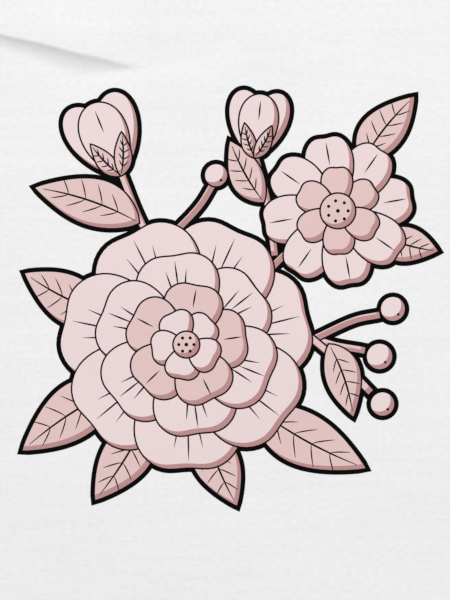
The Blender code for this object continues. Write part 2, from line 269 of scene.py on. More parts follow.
# %% Sleeve and cuff
SLEEVE_TOP_LENGTH = 0.200
SLEEVE_SLOPE = math.radians(31)
CUFF_WIDTH = 0.172
CUFF_TILT = math.radians(28)
CUFF_TOP = SHOULDER_POINT + SLEEVE_TOP_LENGTH * np.array([math.cos(SLEEVE_SLOPE), -math.sin(SLEEVE_SLOPE)])
CUFF_LOW = CUFF_TOP + CUFF_WIDTH * np.array([-math.sin(CUFF_TILT), -math.cos(CUFF_TILT)])
CUFF = np.array([CUFF_TOP, CUFF_LOW])
HEMS = (HEM, CUFF, mirrored(CUFF))


def cuff_row(depth):
    """A line across the right sleeve from its top fold to its lower one, so far in from the cuff's edge."""
    inward = np.array([CUFF_LOW[1] - CUFF_TOP[1], CUFF_TOP[0] - CUFF_LOW[0]]) / CUFF_WIDTH
    seams = np.array([SHOULDER_POINT, UNDERARM_POINT]) - CUFF
    ends = CUFF + seams * depth / (seams @ inward)[:, None]
    return ends[0] + (ends[1] - ends[0]) * SLEEVE_SHARES


print("5 cm in from its edge the sleeve is", mm(travelled(cuff_row(0.05))[-1]), "mm wide")

# %% [markdown]
# ## Necklines
#
# The front neckline hangs deep and round, and the back one is shallow. A circle would be too steep at the
# shoulders, so the front is half an ellipse and the back a parabola. One formula draws both.

# %% Necklines
FRONT_NECK = (0.098, 1)
BACK_NECK = (0.022, 2)


def neck_arc(half_width, top_y, neck, angles, deeper=0.0):
    """An arc that hangs from top_y, where angle 0 is its right end. neck is its depth and its shape: half an
    ellipse (1) or a parabola (2)."""
    depth, shape = neck
    return np.column_stack([half_width * np.cos(angles), top_y - (depth + deeper) * np.sin(angles) ** shape])


def neck_seam(neck, steps):
    """The seam between the front or back and the collar, from the right shoulder to the left."""
    return neck_arc(*NECK_POINT, neck, np.linspace(0, math.pi, steps + 1))


FRONT_SEAM = neck_seam(FRONT_NECK, 100)
BACK_SEAM = neck_seam(BACK_NECK, 60)
print("the neck seam is", mm(travelled(FRONT_SEAM)[-1] + travelled(BACK_SEAM)[-1]), "mm round")

# %% [markdown]
# ## Measuring from a line
#
# Nearly all relief on a garment depends on two numbers: how far a point lies from a line, such as a seam or
# the crest of a fold, and how far along the line it is. Blender can find the nearest point of a mesh, but
# not how far along a line it is, so one helper works both out, for thousands of points at once.

# %% Distance to a line
POINTS_AT_ONCE = 4000


class Near(NamedTuple):
    """Where points lie against a line: how far from it, how far along it, on which of its segments, at what
    share of that, and on which side."""

    distance: np.ndarray
    along: np.ndarray
    segment: np.ndarray
    share: np.ndarray
    side: np.ndarray


def nearest_part(points, line):
    """One batch of points against a line."""
    start, run = line[:-1, :2], np.diff(line[:, :2], axis=0)
    length = np.linalg.norm(run, axis=1)
    away = points[:, None] - start
    share = np.clip((away * run).sum(2) / np.maximum(length**2, 1e-12), 0, 1)
    offset = away - share[..., None] * run
    distance = np.linalg.norm(offset, axis=2)
    segment = distance.argmin(1)
    rows = np.arange(len(points))
    near, share = offset[rows, segment], share[rows, segment]
    side = run[segment, 0] * near[:, 1] - run[segment, 1] * near[:, 0]
    along = travelled(line[:, :2])[segment] + share * length[segment]
    return distance[rows, segment], along, segment, share, side


def nearest_on(points, line):
    """Where each point lies against an open line; side is positive on the line's left."""
    starts = range(0, max(len(points), 1), POINTS_AT_ONCE)
    parts = [nearest_part(points[i : i + POINTS_AT_ONCE], line) for i in starts]
    return Near(*(np.concatenate(columns) for columns in zip(*parts)))


def nearest_of(points, lines):
    """Each point's distance to the nearest of some lines."""
    return np.min([nearest_on(points, line).distance for line in lines], axis=0)


print("the print's middle is", mm(nearest_on(np.array([PRINT_CENTRE]), HEM).distance[0]), "mm above the hem")

# %% [markdown]
# ## Soft shapes from distances
#
# A distance becomes a height through a curve. Three are enough here: a smooth step for edges and fades, a
# bell for ridges and grooves, and a smooth line through a few points, along which a fold can rise and sink.

# %% Soft shapes


def smooth_step(x):
    """0 below 0, 1 above 1, and a smooth rise between."""
    x = np.clip(x, 0, 1)
    return x * x * (3 - 2 * x)


def bell(x):
    """1 at 0, and smoothly down to nothing about 2 away."""
    return np.exp(-(x**2))


def smooth_line(anchors, steps):
    """A Catmull-Rom curve through the anchors, with so many steps from each to the next."""
    anchors = np.asarray(anchors, float)
    padded = np.vstack([2 * anchors[0] - anchors[1], anchors, 2 * anchors[-1] - anchors[-2]])
    t = np.linspace(0, 1, steps, endpoint=False)[:, None]
    runs = []
    for before, start, end, after in zip(padded, padded[1:], padded[2:], padded[3:]):
        square = 2 * before - 5 * start + 4 * end - after
        cube = 3 * start - before - 3 * end + after
        runs.append(0.5 * (2 * start + (end - before) * t + square * t**2 + cube * t**3))
    return np.vstack([*runs, anchors[-1:]])


print("a bell at half its reach is", round(float(bell(1)), 2), "and a step halfway", smooth_step(0.5))

# %% [markdown]
# ## Where the loose folds lie
#
# A fold in cloth on a table has a crest, one steep side where the cloth is pushed together, and one long
# soft side where it settles. A cloth simulation makes such folds, but not where the photograph has them. So
# each is drawn as a crest line with a height and a steepness at every point. The first is the crease of the
# photograph: it starts at the left armhole, drops steeply on its lower side and runs out on the chest. The
# others are where such a shirt always has them.

# %% The folds
FOLD_STEPS = 5
FOLD_ROWS = (
    # Soft reach, then (x, y, height, steep reach) along the crest, all in millimetres
    # The crease of the photograph, from the left armhole across the top of the chest
    (40, (-262, 250, 0, 4), (-219, 236.5, 1.6, 3.6), (-185, 227.2, 2.2, 3.3), (-151, 218, 2.6, 3.1),
     (-124, 212, 3.4, 4.1), (-98, 205.2, 3.6, 5.2), (-84, 202.2, 3, 4.4), (-71, 198.8, 1.7, 2.4),
     (-61, 197.6, 0.5, 1.8), (-50, 197.6, 0, 1.8)),
    # The shallow valley under it, whose far side catches the light
    (15, (-124.5, 199.2, 0, 7), (-97.6, 193.1, -0.38, 7), (-84.1, 194.1, -0.46, 7),
     (-70.7, 194.8, -0.5, 7), (-57.2, 195.7, -0.56, 6), (-37, 198.4, -0.5, 6), (-6.7, 204, -0.3, 6),
     (23.6, 209, 0, 6)),
    # Drag lines from the shoulders down beside the armholes
    (16, (-115, 330, 0, 9), (-150, 297, 2.4, 9), (-182, 262, 2.6, 9), (-203, 222, 0, 9)),
    (15, (206, 178, 0, 9), (193, 228, 3.2, 9), (166, 275, 2.8, 9), (128, 322, 0, 9)),
    # Drag lines from the underarms into the body
    (17, (-259, 96, 1, 8), (-226, 50, 5.2, 8), (-197, -6, 4, 9), (-186, -66, 0, 10)),
    (18, (-258, 20, 0.8, 9), (-238, -50, 4.4, 10), (-223, -125, 5, 10), (-217, -205, 0, 12)),
    (17, (184, -30, 0, 10), (190, 28, 3.8, 9), (221, 74, 5.4, 8), (259, 99, 1, 8)),
    (19, (205, -215, 0, 12), (218, -135, 4.6, 10), (236, -60, 4.2, 10), (258, 12, 0.8, 9)),
    # Long loose folds above the hem
    (22, (-250, -206, 0.4, 10), (-194, -248, 5, 10), (-122, -276, 4.6, 11), (-46, -286, 0, 12)),
    (20, (122, -352, 0.3, 12), (158, -300, 4.6, 11), (208, -244, 5.2, 10), (252, -176, 0.4, 10)),
    (18, (20, -346, 0.4, 14), (34, -310, 2.6, 13), (58, -268, 2.2, 13), (88, -236, 0, 13)),
    # Folds along the sleeves
    (14, (-236, 168, 0.4, 8), (-283, 166, 5, 8), (-326, 150, 4.4, 8), (-364, 132, 0.6, 8)),
    (13, (-244, 284, 0, 8), (-286, 256, 2.8, 8), (-334, 226, 3, 8), (-380, 192, 0.4, 8)),
    (13, (-262, 124, 0.6, 7), (-290, 116, 3.8, 7), (-322, 94, 0.8, 7)),
    (14, (368, 152, 0.6, 8), (327, 174, 4.4, 8), (282, 186, 5.2, 8), (234, 176, 0.4, 8)),
    (13, (366, 206, 0.2, 8), (330, 224, 2.6, 8), (288, 250, 2.8, 8), (246, 284, 0, 8)),
    (13, (322, 88, 0.8, 7), (292, 114, 4, 7), (262, 122, 0.6, 7)),
)


class Fold(NamedTuple):
    """A ridge or valley of the top layer. Each row of its spine is x, y, height and steep reach."""

    soft_reach: float
    spine: np.ndarray


FOLDS = [Fold(reach / 1000, smooth_line(np.array(rows) / 1000, FOLD_STEPS)) for reach, *rows in FOLD_ROWS]
print(len(FOLDS), "folds, the highest", mm(max(fold.spine[:, 2].max() for fold in FOLDS)), "mm")

# %% [markdown]
# ## How a fold rises
#
# Seen from its end, a fold's steep side falls away like a slope that starts sharp at a slightly rounded
# crest and dips a little below the cloth around it. Its soft side is a bell. All folds are summed with
# three long, very low waves, and they flatten towards the collar and the hems, where the doubled cloth is
# stiffer.

# %% Height of the folds
CREST_ROUND = 0.001
DIP_SHARE = 0.12
DIP_REACHES = 2.6
STEEP_REACHES = 9
SOFT_REACHES = 3
NECK_FADE = 0.030
HEM_FADE = 0.050
HEM_LEAST = 0.3
WAVES = ((3.1, 5.3, 0.4, 0.00022), (7.4, -2.2, 1.9, 0.00018), (-4.6, 8.9, 3.3, 0.00014))


def fold_height(points, fold):
    """What one fold adds at each point: steep and pinched on its right side, long and soft on its left."""
    soft, spine = fold
    reach = max(STEEP_REACHES * spine[:, 3].max(), SOFT_REACHES * soft)
    low, high = spine[:, :2].min(0) - reach, spine[:, :2].max(0) + reach
    inside = ((points > low) & (points < high)).all(1)
    near = nearest_on(points[inside], spine)
    start, end = spine[near.segment], spine[near.segment + 1]
    height, steep = (start[:, k] * (1 - near.share) + end[:, k] * near.share for k in (2, 3))
    rounded = np.sqrt(near.distance**2 + CREST_ROUND**2) - CREST_ROUND
    dip = DIP_SHARE * bell(2 * near.distance / (DIP_REACHES * steep) - 2)
    added = np.zeros(len(points))
    added[inside] = height * np.where(
        near.side < 0, np.exp(-rounded / steep) - dip, bell(near.distance / soft)
    )
    return added


def waves(points, rows):
    """A sum of plane waves: (waves per metre across, waves per metre along, phase, height)."""
    height = np.zeros(len(points))
    for across, along, phase, size in rows:
        height += size * np.sin(TURN * (across * points[:, 0] + along * points[:, 1]) + phase)
    return height


def loose_height(points):
    """How far the top layer stands above its resting height."""
    height = sum(fold_height(points, fold) for fold in FOLDS) + waves(points, WAVES)
    for line, fade, least in ((FRONT_SEAM, NECK_FADE, 0), *((hem, HEM_FADE, HEM_LEAST) for hem in HEMS)):
        height *= least + (1 - least) * smooth_step(nearest_on(points, line).distance / fade)
    return height


print("the crease stands", mm(loose_height(FOLDS[0].spine[:, :2]).max()), "mm high")

# %% [markdown]
# ## Seams
#
# A seam is a groove, because the thread pulls the cloth down into it. Beside it lies the ridge of the seam
# allowance, and the tight thread gathers the cloth into puckers that die out within a centimetre or two. A
# bump texture could fake them, but they catch the light along their whole slope, so they are real height
# here.

# %% Seams
GROOVE_DEPTH = 0.00050
GROOVE_WIDTH = 0.0014
ALLOWANCE_HEIGHT = 0.00024
ALLOWANCE_MIDDLE = 0.0038
ALLOWANCE_HALF = 0.0026
PUCKER_REACH = 0.010
# Two waves that shift the puckers, as (how far, length, phase), and two whose product makes them uneven
PUCKER_SHIFTS = ((1.4, 0.073, 0), (0.7, 0.031, 1))
PUCKER_WAVES = ((0.117, 2), (0.047, 0))
PUCKER_EVEN = 0.62
# Height and length of the puckers
ARMHOLE_PUCKERS = (0.00042, 0.0098)
COLLAR_PUCKERS = (0.00030, 0.0082)


def swing(along, length, phase=0.0):
    """A wave of the given length along a line, between -1 and 1."""
    return np.sin(TURN * along / length + phase)


def pucker(near, height, length):
    """Ripples across a seam, uneven in height and spacing along it."""
    along = near.along
    ripple = swing(along, length, sum(size * swing(along, *wave) for size, *wave in PUCKER_SHIFTS))
    slow, quick = (swing(along, *wave) for wave in PUCKER_WAVES)
    unevenness = PUCKER_EVEN + (1 - PUCKER_EVEN) * slow * quick
    fade = np.exp(-near.distance / PUCKER_REACH) * (1 - bell(near.distance / GROOVE_WIDTH))
    return height * ripple * unevenness * fade


def seam_relief(points, line, puckers):
    """A sewn line: its groove, the ridge of its allowance on the left, and puckers on both sides."""
    near = nearest_on(points, line)
    groove = -GROOVE_DEPTH * bell(near.distance / GROOVE_WIDTH)
    ridge = ALLOWANCE_HEIGHT * bell(((near.distance - ALLOWANCE_MIDDLE) / ALLOWANCE_HALF) ** 2)
    return groove + ridge * (near.side > 0) + pucker(near, *puckers)


beside = ARMHOLE + left_of(ARMHOLE) * ALLOWANCE_MIDDLE
print("beside an armhole the cloth rises", mm(seam_relief(beside, ARMHOLE, ARMHOLE_PUCKERS).max()), "mm")

# %% [markdown]
# ## Relief of a hem
#
# A hem is a double band between its edge and two rows of stitches. The machine pulls its upper layer along,
# so it twists a little, which tailors call roping. Slanting waves that drift in step and in height look
# like it, where an even wave would look machined.

# %% Relief of a hem
TWIN_ROWS = (0.019, 0.025)
STITCH_GROOVE = 0.00028
STITCH_GROOVE_WIDTH = 0.0007
BAND_HEIGHT = 0.00042
BAND_EDGE = 0.002
ROPE_HEIGHT = 0.00020
ROPE_LENGTH = 0.0125
ROPE_SLANT = 0.55
ROPE_DRIFT = 0.9
ROPE_DRIFT_LENGTH = 0.083
ROPE_EVEN = 0.6
ROPE_CHANGE_LENGTH = 0.137
HEM_PUCKERS = (0.00012, 0.0105)


def stitch_grooves(distance):
    """The depth of the grooves under a hem's two rows of stitches, at a distance from its edge."""
    return STITCH_GROOVE * sum(bell((distance - row) / STITCH_GROOVE_WIDTH) for row in TWIN_ROWS)


def hem_relief(points, line):
    """A hem: its raised band with slanting ropes, the grooves of its stitch rows, and puckers above them."""
    near = nearest_on(points, line)
    inner_end = (near.distance - TWIN_ROWS[0] + BAND_EDGE) / BAND_EDGE
    band = smooth_step(near.distance / BAND_EDGE) * (1 - smooth_step(inner_end))
    slant = (near.along + ROPE_SLANT * near.distance) / ROPE_LENGTH
    slant += ROPE_DRIFT * swing(near.along, ROPE_DRIFT_LENGTH)
    strength = ROPE_EVEN + (1 - ROPE_EVEN) * swing(near.along, ROPE_CHANGE_LENGTH)
    rope = ROPE_HEIGHT * np.sin(TURN * slant) * strength
    beyond = near._replace(distance=np.maximum(near.distance - TWIN_ROWS[1], 0))
    above = pucker(beyond, *HEM_PUCKERS) * (near.distance > TWIN_ROWS[1])
    return band * (BAND_HEIGHT + rope) - stitch_grooves(near.distance) + above


print("the hem's band rises", mm(hem_relief(hem_line(0.01), HEM).max()), "mm")

# %% [markdown]
# ## A faint rumple
#
# Folding and washing leave faint waves all over the cloth, but the press for the print flattens the chest.
# A noise texture could displace the cloth. A sum of plane waves from a fixed seed does the same, and it can
# be evaluated anywhere, so the ink and the thread can lie on it too.

# %% Rumple and all small relief
RUMPLE_COUNT = 26
RUMPLE_LENGTHS = (0.022, 0.075)
RUMPLE_PHASES = (0, 6.3)
RUMPLE_SHARE = 0.0009
RUMPLE_SEED = 7
PRESSED_HALF = (0.150, 0.200)
PRESSED_EDGE = 0.9
PRESSED_FADE = 0.35
PRESSED_SHARE = 0.85


def rumple(points):
    """Faint waves in all directions, weaker on the pressed chest."""
    random = np.random.default_rng(RUMPLE_SEED)
    rows = []
    for _ in range(RUMPLE_COUNT):
        angle, length = random.uniform(0, math.pi), random.uniform(*RUMPLE_LENGTHS)
        phase = random.uniform(*RUMPLE_PHASES)
        rows.append((math.cos(angle) / length, math.sin(angle) / length, phase, RUMPLE_SHARE * length))
    centred = np.abs(points - PRINT_CENTRE) / PRESSED_HALF
    pressed = 1 - smooth_step((np.max(centred, axis=1) - PRESSED_EDGE) / PRESSED_FADE)
    return waves(points, rows) * (1 - PRESSED_SHARE * pressed)


def top_relief(points):
    """All the small relief of the top layer."""
    height = rumple(points) + seam_relief(points, FRONT_SEAM, COLLAR_PUCKERS)
    height += sum(seam_relief(points, line, ARMHOLE_PUCKERS) for line in ARMHOLES)
    return height + sum(hem_relief(points, line) for line in HEMS)


def bottom_relief(points):
    """The small relief of the layer on the table, whose outside faces down: only grooves, upwards."""
    height = np.zeros(len(points))
    for line in (*ARMHOLES, BACK_SEAM):
        height += GROOVE_DEPTH / 2 * bell(nearest_on(points, line).distance / GROOVE_WIDTH)
    for line in HEMS:
        height += stitch_grooves(nearest_on(points, line).distance) / 2
    return height


print("beside the print the rumple reaches", mm(np.abs(rumple(straight((0.2, 0), (0.2, 0.2)))).max()), "mm")

# %% [markdown]
# ## The two layers
#
# Front and back meet at the sides and shoulders, and the two faces of a sleeve meet at its folds. There the
# cloth doesn't end: it rolls over from the top layer to the bottom one. A bevel would round only the rim. A
# quarter of an ellipse in the heights of both layers makes them meet upright, in a soft round border.

# %% Heights of both layers
BACK_Z = 0.0004
MEET_Z = 0.0019
EDGE_ROLL = 0.005
RIGHT_EDGES = (
    side_line(),
    np.array([NECK_POINT, SHOULDER_POINT, CUFF_TOP]),
    np.array([UNDERARM_POINT, CUFF_LOW]),
)
ROLLED_EDGES = [*RIGHT_EDGES, *map(mirrored, RIGHT_EDGES)]


def rolled(edge):
    """A quarter of an ellipse: 0 at a distance of 0 from a rolled edge, and 1 where the layer lies flat."""
    return np.sqrt(1 - (1 - np.clip(edge / EDGE_ROLL, 0, 1)) ** 2)


def roll(points):
    """How far each point of a layer has rolled out flat, from 0 to 1."""
    return rolled(nearest_of(points, ROLLED_EDGES))


def top_z(points):
    """The height of the middle of the top layer's cloth."""
    level = FRONT_Z + loose_height(points) + top_relief(points)
    return MEET_Z + (level - MEET_Z) * roll(points)


def bottom_z(points):
    """The height of the middle of the bottom layer's cloth."""
    return MEET_Z + (BACK_Z + bottom_relief(points) - MEET_Z) * roll(points)


middle = np.array([PRINT_CENTRE])
print("in the middle the layers lie", mm(top_z(middle)[0] - bottom_z(middle)[0]), "mm apart")

# %% [markdown]
# ## Making cloth
#
# Each pattern piece starts as an open sheet through the middle of its cloth. Modelling both faces by hand
# would be twice the work, so Solidify gives it the thickness of jersey. The UV map holds real metres along
# and across the knit, so its stitches are the same size everywhere and follow each piece's own grain.

# %% Sheets of cloth
CLOTH = 0.0007
RIM_ANGLE = math.radians(50)


def lifted(plan, height):
    """Points of the plane at one height, or each at its own."""
    return np.column_stack([plan, np.broadcast_to(height, len(plan))])


def add_object(name, points, faces, grain):
    """A smooth mesh object at the origin. grain gives each point its place along and across the knit."""
    mesh = bpy.data.meshes.new(name)
    mesh.from_pydata(np.asarray(points, float).tolist(), [], faces)
    loops = np.empty(len(mesh.loops), dtype=np.int32)
    mesh.loops.foreach_get("vertex_index", loops)
    mesh.uv_layers.new(name="Cloth").data.foreach_set("uv", np.asarray(grain, np.float32)[loops].ravel())
    mesh.shade_smooth()
    return link(bpy.data.objects.new(name, mesh))


def baked(obj):
    """A plain mesh object with the same name, made from what an object's modifiers make of it."""
    graph = bpy.context.evaluated_depsgraph_get()
    mesh = bpy.data.meshes.new_from_object(obj.evaluated_get(graph), depsgraph=graph)
    name = obj.name
    bpy.data.objects.remove(obj)
    return link(bpy.data.objects.new(name, mesh))


def thicken(obj, thickness):
    """Gives an open sheet its thickness, half on each side, with a crisp rim."""
    solidify = obj.modifiers.new("cloth", "SOLIDIFY")
    solidify.thickness = thickness
    solidify.offset = 0.0
    obj = baked(obj)
    obj.data.set_sharp_from_angle(angle=RIM_ANGLE)
    return obj


def lattice_faces(ids, closed=False):
    """Quads between the rows of a table of point numbers. closed joins the end of each row to its start."""
    if closed:
        ids = np.column_stack([ids, ids[:, 0]])
    return np.stack([ids[:-1, :-1], ids[:-1, 1:], ids[1:, 1:], ids[1:, :-1]], axis=-1).reshape(-1, 4).tolist()


def cut_area(outline):
    """The area inside a closed outline, in square metres, and below 0 if it runs clockwise."""
    x, y = np.asarray(outline).T
    return float(np.sum(x * np.roll(y, -1) - np.roll(x, -1) * y)) / 2


print("jersey is", mm(CLOTH), "mm thick")

# %% [markdown]
# ## Hems that turn under
#
# The edge of a hem is a fold: the cloth goes round it and runs back inside as far as the stitches. A
# thicker rim would look the same from above, but only a real fold looks right from the side and from
# inside. This helper makes its rows of points for any edge. Near a side seam the inside of the garment lies
# sideways and not downwards, so each point has its own inward direction.

# %% Turned hems
HEM_FOLD_RADIUS = 0.0005
HEM_DEPTH = 0.027
HEM_TURNS = 5
HEM_ROWS = 7


def turned_rows(edge, outward, inside, height_of):
    """Rows of points that carry a hem round its edge and back under. edge and outward are in the plane, and
    inside points from the cloth into the garment, in space."""
    flat = lifted(edge, height_of(edge))
    out = lifted(outward, 0)
    rows = []
    for angle in np.linspace(0, math.pi, HEM_TURNS + 1)[1:]:
        turn = out * math.sin(angle) + inside * (1 - math.cos(angle))
        rows.append(flat + HEM_FOLD_RADIUS * turn)
    for depth in np.linspace(0, HEM_DEPTH, HEM_ROWS + 1)[1:]:
        under = edge - outward * depth
        rows.append(lifted(under, height_of(under)) + 2 * HEM_FOLD_RADIUS * inside)
    return rows


def inside_direction(edge, middle, facing):
    """Unit vectors from the cloth's edge points into the garment: sideways at a rolled edge, elsewhere down
    from a top layer (facing 1) or up from a bottom one (facing -1)."""
    rise = roll(edge)
    sideways = unit(middle - edge) * np.sqrt(1 - rise**2)[:, None]
    return lifted(sideways, -facing * rise)


print("a hem turns under by", mm(HEM_DEPTH), "mm, past its stitches at", mm(TWIN_ROWS[1]), "mm")

# %% [markdown]
# ## Points for the front and back
#
# The body panels have too free an outline for rows and columns, and an even mesh fine enough for the crease
# would be huge. So their points are laid out by rule: rings that follow the outline closely where the cloth
# rolls, rows along the hem's stitches, a denser band along every fold and seam, and an even grid elsewhere.

# %% Points for the panels
RING_DISTANCES = (0.00003, 0.00016, 0.0006, 0.0013, 0.0023, 0.0036)
# How far from the outline a ring's points must really be, and the gap they need, as shares of its distance
RING_CLEAR = 0.96
RING_GAP = 0.4


def inside_outline(points, outline):
    """Which points lie in a closed outline: those with an odd number of its edges to their right."""
    start, end = outline, np.roll(outline, -1, axis=0)
    rise = np.where(end[:, 1] == start[:, 1], 1, end[:, 1] - start[:, 1])
    odd = []
    for i in range(0, len(points), POINTS_AT_ONCE):
        x, y = points[i : i + POINTS_AT_ONCE, :, None].swapaxes(0, 1)
        spans = (start[:, 1] > y) != (end[:, 1] > y)
        cross = start[:, 0] + (y - start[:, 1]) * (end[:, 0] - start[:, 0]) / rise
        odd.append((spans & (x < cross)).sum(1) % 2 == 1)
    return np.concatenate(odd)


def rings_inside(outline):
    """Rings of points that follow a closed outline at each of the ring distances, with the gaps they need."""
    run = unit(np.roll(outline, -1, axis=0) - np.roll(outline, 1, axis=0))
    inward = np.column_stack([-run[:, 1], run[:, 0]])
    rings = []
    for distance in RING_DISTANCES:
        ring = outline + inward * distance
        clear = nearest_on(ring, looped(outline)).distance > RING_CLEAR * distance
        rings.append((ring[clear], RING_GAP * distance))
    return rings


def staggered_grid(step, low, high):
    """Points in staggered rows, as even triangles have them."""
    row_step = step * math.sqrt(3) / 2
    xs, ys = np.meshgrid(np.arange(low[0], high[0], step), np.arange(low[1], high[1], row_step))
    xs[1::2] += step / 2
    return np.column_stack([xs.ravel(), ys.ravel()])


def band_points(line, half_width, step):
    """Points along a line, and an even grid within half_width of it."""
    crest = np.vstack([straight(start, end, step)[:-1] for start, end in zip(line, line[1:])])
    grid = staggered_grid(step, line.min(0) - half_width, line.max(0) + half_width)
    return np.vstack([crest, grid[nearest_on(grid, line).distance < half_width]])


print("a band of 1 cm along the hem gets", len(band_points(HEM, 0.005, 0.0019)), "points")

# %% [markdown]
# ## Filling an outline
#
# A Delaunay triangulation joins loose points into well-shaped triangles. It copes with any density, as long
# as no two points almost touch, so each set of points first loses those that come too near to an earlier
# set.

# %% Fill an outline
SEAM_GAP = 0.00002


def spread(point_sets):
    """Joins sets of points with their gaps. A point stays if none of an earlier set is within its own gap."""
    kept = np.empty((0, 2))
    for points, gap in point_sets:
        if len(kept):
            tree = KDTree(len(kept))
            for index, (x, y) in enumerate(kept):
                tree.insert((x, y, 0), index)
            tree.balance()
            points = points[[tree.find((x, y, 0))[2] > gap for x, y in points]]
        kept = np.vstack([kept, points])
    return kept


def fill_outline(outline, point_sets):
    """Triangles that fill a closed outline and use the points of the sets that lie well inside it."""
    sets = rings_inside(outline)
    for points, gap in point_sets:
        points = points[inside_outline(points, outline)]
        clear = nearest_on(points, looped(outline)).distance > RING_DISTANCES[-1] + gap / 2
        sets.append((points[clear], gap))
    corners = [Vector(p) for p in np.vstack([outline, spread(sets)])]
    flat, _, faces, *_ = delaunay_2d_cdt(corners, [], [list(range(len(outline)))], 1, 1e-7)
    return np.array([tuple(p) for p in flat]), faces


def panel_outline(neckline):
    """A body panel's cut, anticlockwise from the left end of the hem."""
    armhole = ARMHOLE - left_of(ARMHOLE) * SEAM_GAP / 2
    right = np.vstack([side_line()[:-1], armhole[::-1], straight(SHOULDER_POINT, NECK_POINT)[1:]])
    return np.vstack([HEM[1:-1], right, (neckline - (0, SEAM_GAP / 2))[1:-1], mirrored(right)])


print("inside its seams the front has", round(cut_area(panel_outline(FRONT_SEAM)), 3), "m2 of cloth")

# %% [markdown]
# ## Front and back
#
# The front carries the crease, the other folds and the seams with their puckers, so it gets dense bands
# along all of them. The back lies flat on the table, and a wide grid is enough. Both get their hem as rows
# of quads, sewn to the triangles at the lowest edge.

# %% Front and back
GRID_STEP = 0.0046
WIDE_STEP = 3 * GRID_STEP
HEM_ROW_GAP = 0.0004
# The gap that a point of a grid or a band needs, as a share of its step
GRID_GAP = 0.55
WIDE_GAP = 1.6 / 3
BAND_GAP = 0.6
FOLD_BAND = (0.008, 0.0030)
CREASE_BAND = (0.012, 0.0011)
SEAM_BAND = (0.013, 0.0019)


def add_panel(name, outline, point_sets, height_of, facing):
    """A body panel with its hem turned under, and the area it was cut from."""
    flat, faces = fill_outline(outline, point_sets)
    outward = np.tile((0.0, -1.0), (len(HEM), 1))
    turned = turned_rows(HEM, outward, inside_direction(HEM, HEM * (0, 1), facing), height_of)
    hem_ids = [int(np.linalg.norm(flat - p, axis=1).argmin()) for p in HEM]
    turned_ids = len(flat) + np.arange(len(turned) * len(HEM)).reshape(len(turned), -1)
    faces += lattice_faces(np.vstack([hem_ids, turned_ids]).T)
    points = np.vstack([lifted(flat, height_of(flat)), *turned])
    area = cut_area(outline) + 2 * CHEST_HALF * HEM_DEPTH
    print(name, "has", len(points), "points and was cut from", round(area, 3), "m2 of cloth")
    return thicken(add_object(name, points, faces, points[:, :2]), CLOTH), area


def front_points():
    """The front's sets of points with their gaps."""
    bands = [(FOLDS[0].spine[:, :2], *CREASE_BAND)]
    bands += [(line, *SEAM_BAND) for line in (*ARMHOLES, FRONT_SEAM)]
    bands += [(hem_line(HEM_LEVELS[-1] + SEAM_BAND[0] / 2), SEAM_BAND[0] / 2, SEAM_BAND[1])]
    bands += [(fold.spine[:, :2], *FOLD_BAND) for fold in FOLDS[1:]]
    return [(band_points(*band), BAND_GAP * band[2]) for band in bands]


hem_rows = (np.vstack([hem_line(rise)[1:-1] for rise in HEM_LEVELS]), HEM_ROW_GAP)
low_corner, high_corner = (-CHEST_HALF, HEM_Y), (CHEST_HALF, NECK_POINT[1])
fine_grid = (staggered_grid(GRID_STEP, low_corner, high_corner), GRID_GAP * GRID_STEP)
wide_grid = (staggered_grid(WIDE_STEP, low_corner, high_corner), WIDE_GAP * WIDE_STEP)
front, front_area = add_panel(
    "front_cloth", panel_outline(FRONT_SEAM), [hem_rows, *front_points(), fine_grid], top_z, 1
)
back, back_area = add_panel("back_cloth", panel_outline(BACK_SEAM), [hem_rows, wide_grid], bottom_z, -1)

# %% [markdown]
# ## Sleeves
#
# A sleeve is a flattened tube. It could be filled with triangles like the body, but rows and columns close
# round its folds without a seam. The rows fan out from the curved armhole to the straight line where the
# hem's band begins, and from there on they run parallel to the cuff, so that the band and its stitches keep
# an even width.

# %% Sleeves
SLEEVE_ROW_STEP = 0.0034
SLEEVE_SEAM_ROWS = (0, 0.0004, 0.0009, 0.0016, 0.0026)


def sleeve_plan():
    """The right sleeve's rows in the plane, from the armhole to the cuff."""
    armhole = ARMHOLE + left_of(ARMHOLE) * SEAM_GAP / 2
    band = cuff_row(HEM_LEVELS[-1])
    length = float(np.linalg.norm(band - armhole, axis=1).mean())
    steps = np.linspace(SLEEVE_SEAM_ROWS[-1], length, round(length / SLEEVE_ROW_STEP))[1:-1]
    rows = [armhole + (band - armhole) * distance / length for distance in (*SLEEVE_SEAM_ROWS, *steps)]
    return rows + [cuff_row(depth) for depth in (*HEM_LEVELS[::-1], 0)]


def add_sleeve(name, side):
    """A sleeve with its cuff turned under, and the area it was cut from."""
    plan = [row * (side, 1) for row in sleeve_plan()]
    cuff = plan[-1]
    outward = unit(cuff - plan[-2])
    layers = []
    for facing, height_of in ((1, top_z), (-1, bottom_z)):
        inside = inside_direction(cuff, cuff[[0, -1]].mean(0), facing)
        rows = [lifted(row, height_of(row)) for row in plan]
        layers.append(rows + turned_rows(cuff, outward, inside, height_of))
    rings = [np.vstack([top, bottom[-2:0:-1]]) for top, bottom in zip(*layers)]
    points = np.vstack(rings)
    faces = lattice_faces(np.arange(len(points)).reshape(len(rings), -1), closed=True)
    along = np.array([math.cos(CUFF_TILT) * side, -math.sin(CUFF_TILT)])
    across = np.array([along[1], -along[0]])
    grain = points[:, :2] @ np.column_stack([across, along])
    area = 2 * (abs(cut_area(np.vstack([plan[0], cuff[::-1]]))) + CUFF_WIDTH * HEM_DEPTH)
    print(name, "has", len(points), "points and was cut from", round(area, 3), "m2 of cloth")
    return thicken(add_object(name, points, faces, grain), CLOTH), area


sleeve_right, sleeve_area = add_sleeve("sleeve_right_cloth", 1)
sleeve_left, _ = add_sleeve("sleeve_left_cloth", -1)

